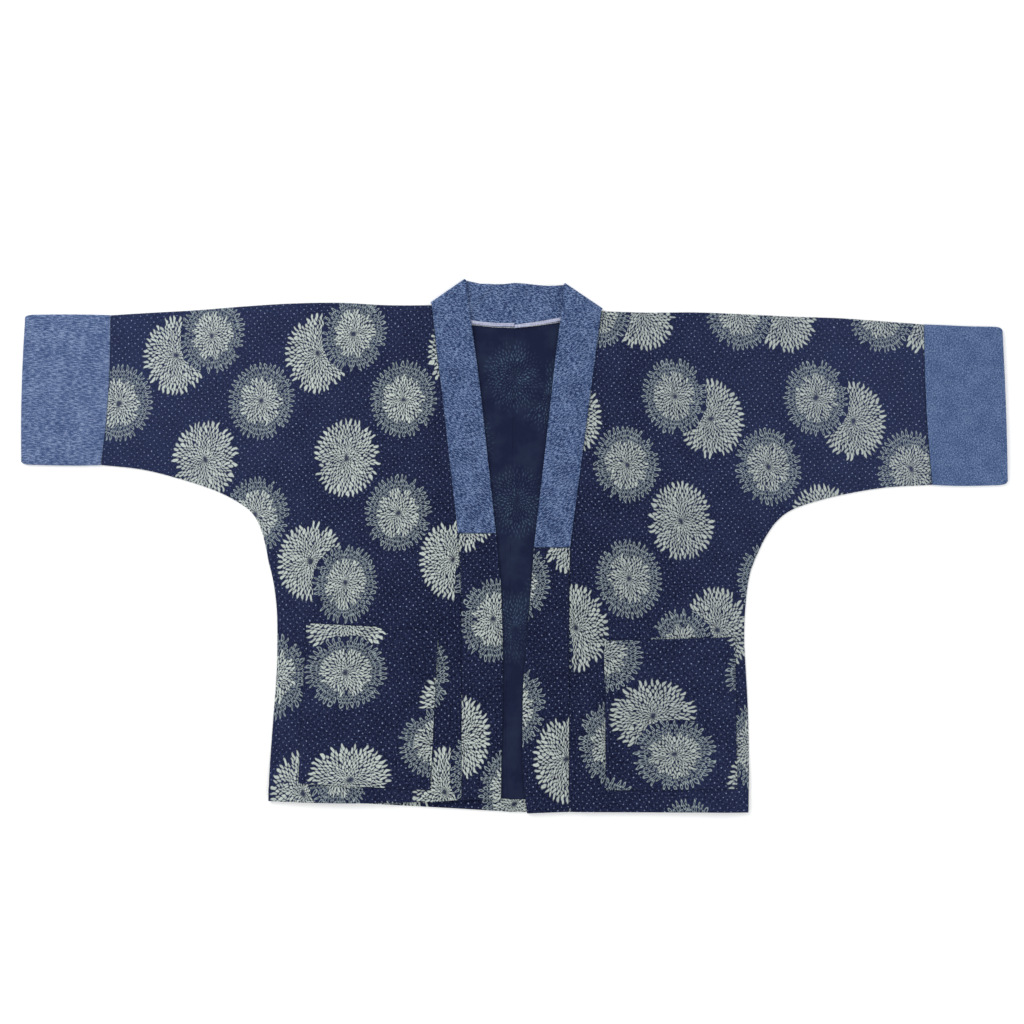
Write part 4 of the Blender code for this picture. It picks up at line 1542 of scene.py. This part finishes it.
def add_light(name, place, size, power):
    """Add a soft square light that faces the coat."""
    light = bpy.data.lights.new(name, "AREA")
    light.shape = "RECTANGLE"
    light.size = size
    light.size_y = size
    light.energy = power
    lamp = bpy.data.objects.new(name, light)
    lamp.location = place
    lamp.rotation_euler = (-Vector(place)).to_track_quat("-Z", "Y").to_euler()
    bpy.context.scene.collection.objects.link(lamp)


def stage():
    """Make the floor, the soft studio light and the camera from above."""
    mesh = bpy.data.meshes.new("floor")
    plane = bmesh.new()
    bmesh.ops.create_grid(plane, x_segments=1, y_segments=1, size=FLOOR_SIZE)
    plane.to_mesh(mesh)
    plane.free()
    floor = bpy.data.objects.new("floor", mesh)
    floor.location = (0.0, 0.0, -FLOOR_DROP)
    bpy.context.scene.collection.objects.link(floor)
    material = bpy.data.materials.new("pale_floor")
    material.use_nodes = True
    shader = material.node_tree.nodes["Principled BSDF"]
    shader.inputs["Base Color"].default_value = FLOOR
    shader.inputs["Roughness"].default_value = FLOOR_ROUGHNESS
    shader.inputs["Specular IOR Level"].default_value = 0.0
    shader.inputs["Emission Color"].default_value = FLOOR
    shader.inputs["Emission Strength"].default_value = FLOOR_GLOW
    mesh.materials.append(material)

    world = bpy.data.worlds.new("studio")
    bpy.context.scene.world = world
    world.use_nodes = True
    world.node_tree.nodes["Background"].inputs["Color"].default_value = SKY
    world.node_tree.nodes["Background"].inputs["Strength"].default_value = SKY_STRENGTH
    for light in LIGHTS:
        add_light(*light)

    lens = bpy.data.cameras.new("camera")
    lens.lens = CAMERA_LENS
    lens.sensor_width = CAMERA_SENSOR
    lens.sensor_fit = "HORIZONTAL"
    camera = bpy.data.objects.new("camera", lens)
    camera.location = CAMERA_PLACE
    camera.rotation_euler = (0.0, 0.0, 0.0)
    bpy.context.scene.collection.objects.link(camera)
    bpy.context.scene.camera = camera
    bpy.context.scene.view_settings.view_transform = "Standard"


def finish_piece(piece, node):
    """Ride a piece on the coat and let it stand for its solid."""
    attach(piece, "root")
    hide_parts(node)


def surface_of(points):
    """Return a ray-casting tree of a middle surface."""
    width = len(points[0])
    flat = [Vector(point) for row in points for point in row]
    faces = []
    for row in range(len(points) - 1):
        for column in range(width - 1):
            first = row * width + column
            faces.append((first, first + 1, first + width + 1, first + width))
    return BVHTree.FromPolygons(flat, faces)


def make_backs(cloths):
    """Make both halves of the back, and return them with their stitch lines."""
    neck = len(ARM_RIGHT) - 1
    corners = tuple(range(neck, neck + 5))
    backs = {}
    lines = []
    for name, arm, body, flat in (
        ("back_right", ARM_RIGHT, BACK_RIGHT, (0.57, 0.72)),
        ("back_left", ARM_LEFT, BACK_LEFT, (0.58, 0.71)),
    ):
        points, places = panel(
            name, arm, body, corners, back_height, 1, BACK_STEPS, BACK_COLUMNS, BACK_INSET
        )
        piece = make_cloth(name + "_cloth", points, places, CLOTH, EDGE_ROUND, cloths, False)
        finish_piece(piece, name)
        lines.append([(x, y - HEM_STITCH_DROP, z + CLOTH / 2) for x, y, z in points[-1][3:-3]])
        backs[name] = piece
    return backs, lines


def make_fronts(cloths):
    """Make both fronts, and return them with the surfaces that the pockets lie on."""
    neck = len(ARM_RIGHT) - 1
    corners = (neck, neck + 4)
    fronts = {}
    surfaces = {}
    for name, arm, body, flat, under in (
        ("front_right", ARM_RIGHT, FRONT_RIGHT, (0.50, 0.72), "back_right"),
        ("front_left", ARM_LEFT, FRONT_LEFT, (0.50, 0.71), "back_left"),
    ):
        points, places = panel(
            name, arm, body, corners, front_height, -1, FRONT_STEPS, FRONT_COLUMNS, 0.0
        )
        surfaces[name] = surface_of(points[:-HEM_TURNS - len(HEM_ROWS)])
        piece = make_cloth(name + "_cloth", points, places, CLOTH, EDGE_ROUND, cloths, True)
        finish_piece(piece, name)
        fronts[name] = piece
    return fronts, surfaces


def make_cuffs(chambrays):
    """Make both cuffs; their threads slope by an angle of their own."""
    for name, table, flat, slope in (
        ("cuff_right", CUFF_RIGHT, (0.12, 0.43), 7.0),
        ("cuff_left", CUFF_LEFT, (0.12, 0.45), 86.0),
    ):
        points, places = cuff(table, SEEDS[name])
        piece = make_cloth(
            name + "_cloth", points, turned(places, slope), CUFF_WALL, CUFF_ROUND,
            (chambrays[name],), None,
        )
        finish_piece(piece, name)


def make_collars(chambray):
    """Make both halves of the collar, and return their stitch lines."""
    lines = []
    for name, front, nape, under in (
        ("collar_right", COLLAR_RIGHT, NAPE_RIGHT, "back_right"),
        ("collar_left", COLLAR_LEFT, NAPE_LEFT, "back_left"),
    ):
        points, places = collar(front, nape, SEEDS[name])
        piece = make_cloth(
            name + "_cloth", points, places, COLLAR_THICK, FOLD_ROUND, (chambray,), True
        )
        finish_piece(piece, name)
        last_row = (len(front) - 1) * COLLAR_STEPS - 2
        lines.append(line_along(points[:last_row], COLLAR_THICK / 2))
    return lines


def make_tapes(pale):
    """Make both halves of the neck tape."""
    for name, table in (("neck_tape_right", TAPE_RIGHT), ("neck_tape_left", TAPE_LEFT)):
        points, places = tape(table)
        piece = make_cloth(name + "_cloth", points, places, TAPE_THICK, TAPE_ROUND, (pale,), True)
        finish_piece(piece, name)


def make_bands(face):
    """Make both printed bands, and return their stitch lines."""
    lines = []
    for name, table, under in (
        ("band_right", BAND_RIGHT, "back_right"),
        ("band_left", BAND_LEFT, "back_left"),
    ):
        points, places = strip(name, table)
        piece = make_cloth(name + "_cloth", points, places, BAND_THICK, FOLD_ROUND, (face,), True)
        finish_piece(piece, name)
        lines.append(line_along(points, BAND_THICK / 2))
    return lines


def make_pockets(cloths, surfaces):
    """Make both pockets, and return their stitch lines."""
    lines = []
    for name, corners, under in (
        ("pocket_right", POCKET_RIGHT, "front_right"),
        ("pocket_left", POCKET_LEFT, "front_left"),
    ):
        points, places = pocket(name, corners, surfaces[under])
        piece = make_cloth(name + "_cloth", points, places, CLOTH, EDGE_ROUND, cloths, True)
        finish_piece(piece, name)
        raised = [[(x, y, z + CLOTH / 2) for x, y, z in row] for row in points]
        misses = [abs(depth - POCKET_HEM_STITCH) for depth in pocket_depths(corners)]
        lines.append(
            [row[3] for row in raised[1:-3]]
            + raised[-4][3:-3]
            + [row[-4] for row in raised[-4:0:-1]]
        )
        lines.append(raised[misses.index(min(misses))][4:-4])
    return lines


def build():
    """Make every piece of the coat."""
    stage()
    flowers = print_group()
    weave = weave_group()
    cloths = (printed_material(flowers, weave), reverse_material(flowers, weave))
    chambrays = {
        piece: chambray_material("blue_chambray_" + piece, weave, look)
        for piece, look in CHAMBRAYS.items()
    }
    pale = tape_material(weave)
    sewing = stitch_group()
    indigo_thread = thread_material("indigo_sewing_thread", THREAD_INDIGO)
    blue_thread = thread_material("blue_sewing_thread", THREAD_BLUE)

    backs, indigo_lines = make_backs(cloths)
    fronts, surfaces = make_fronts(cloths)
    make_cuffs(chambrays)
    blue_lines = make_collars(chambrays["collar"])
    make_tapes(pale)
    indigo_lines += make_bands(cloths[0])
    indigo_lines += make_pockets(cloths, surfaces)
    sew("indigo_stitches", indigo_lines, sewing, indigo_thread, 3)
    sew("blue_stitches", blue_lines, sewing, blue_thread, 5)


build()
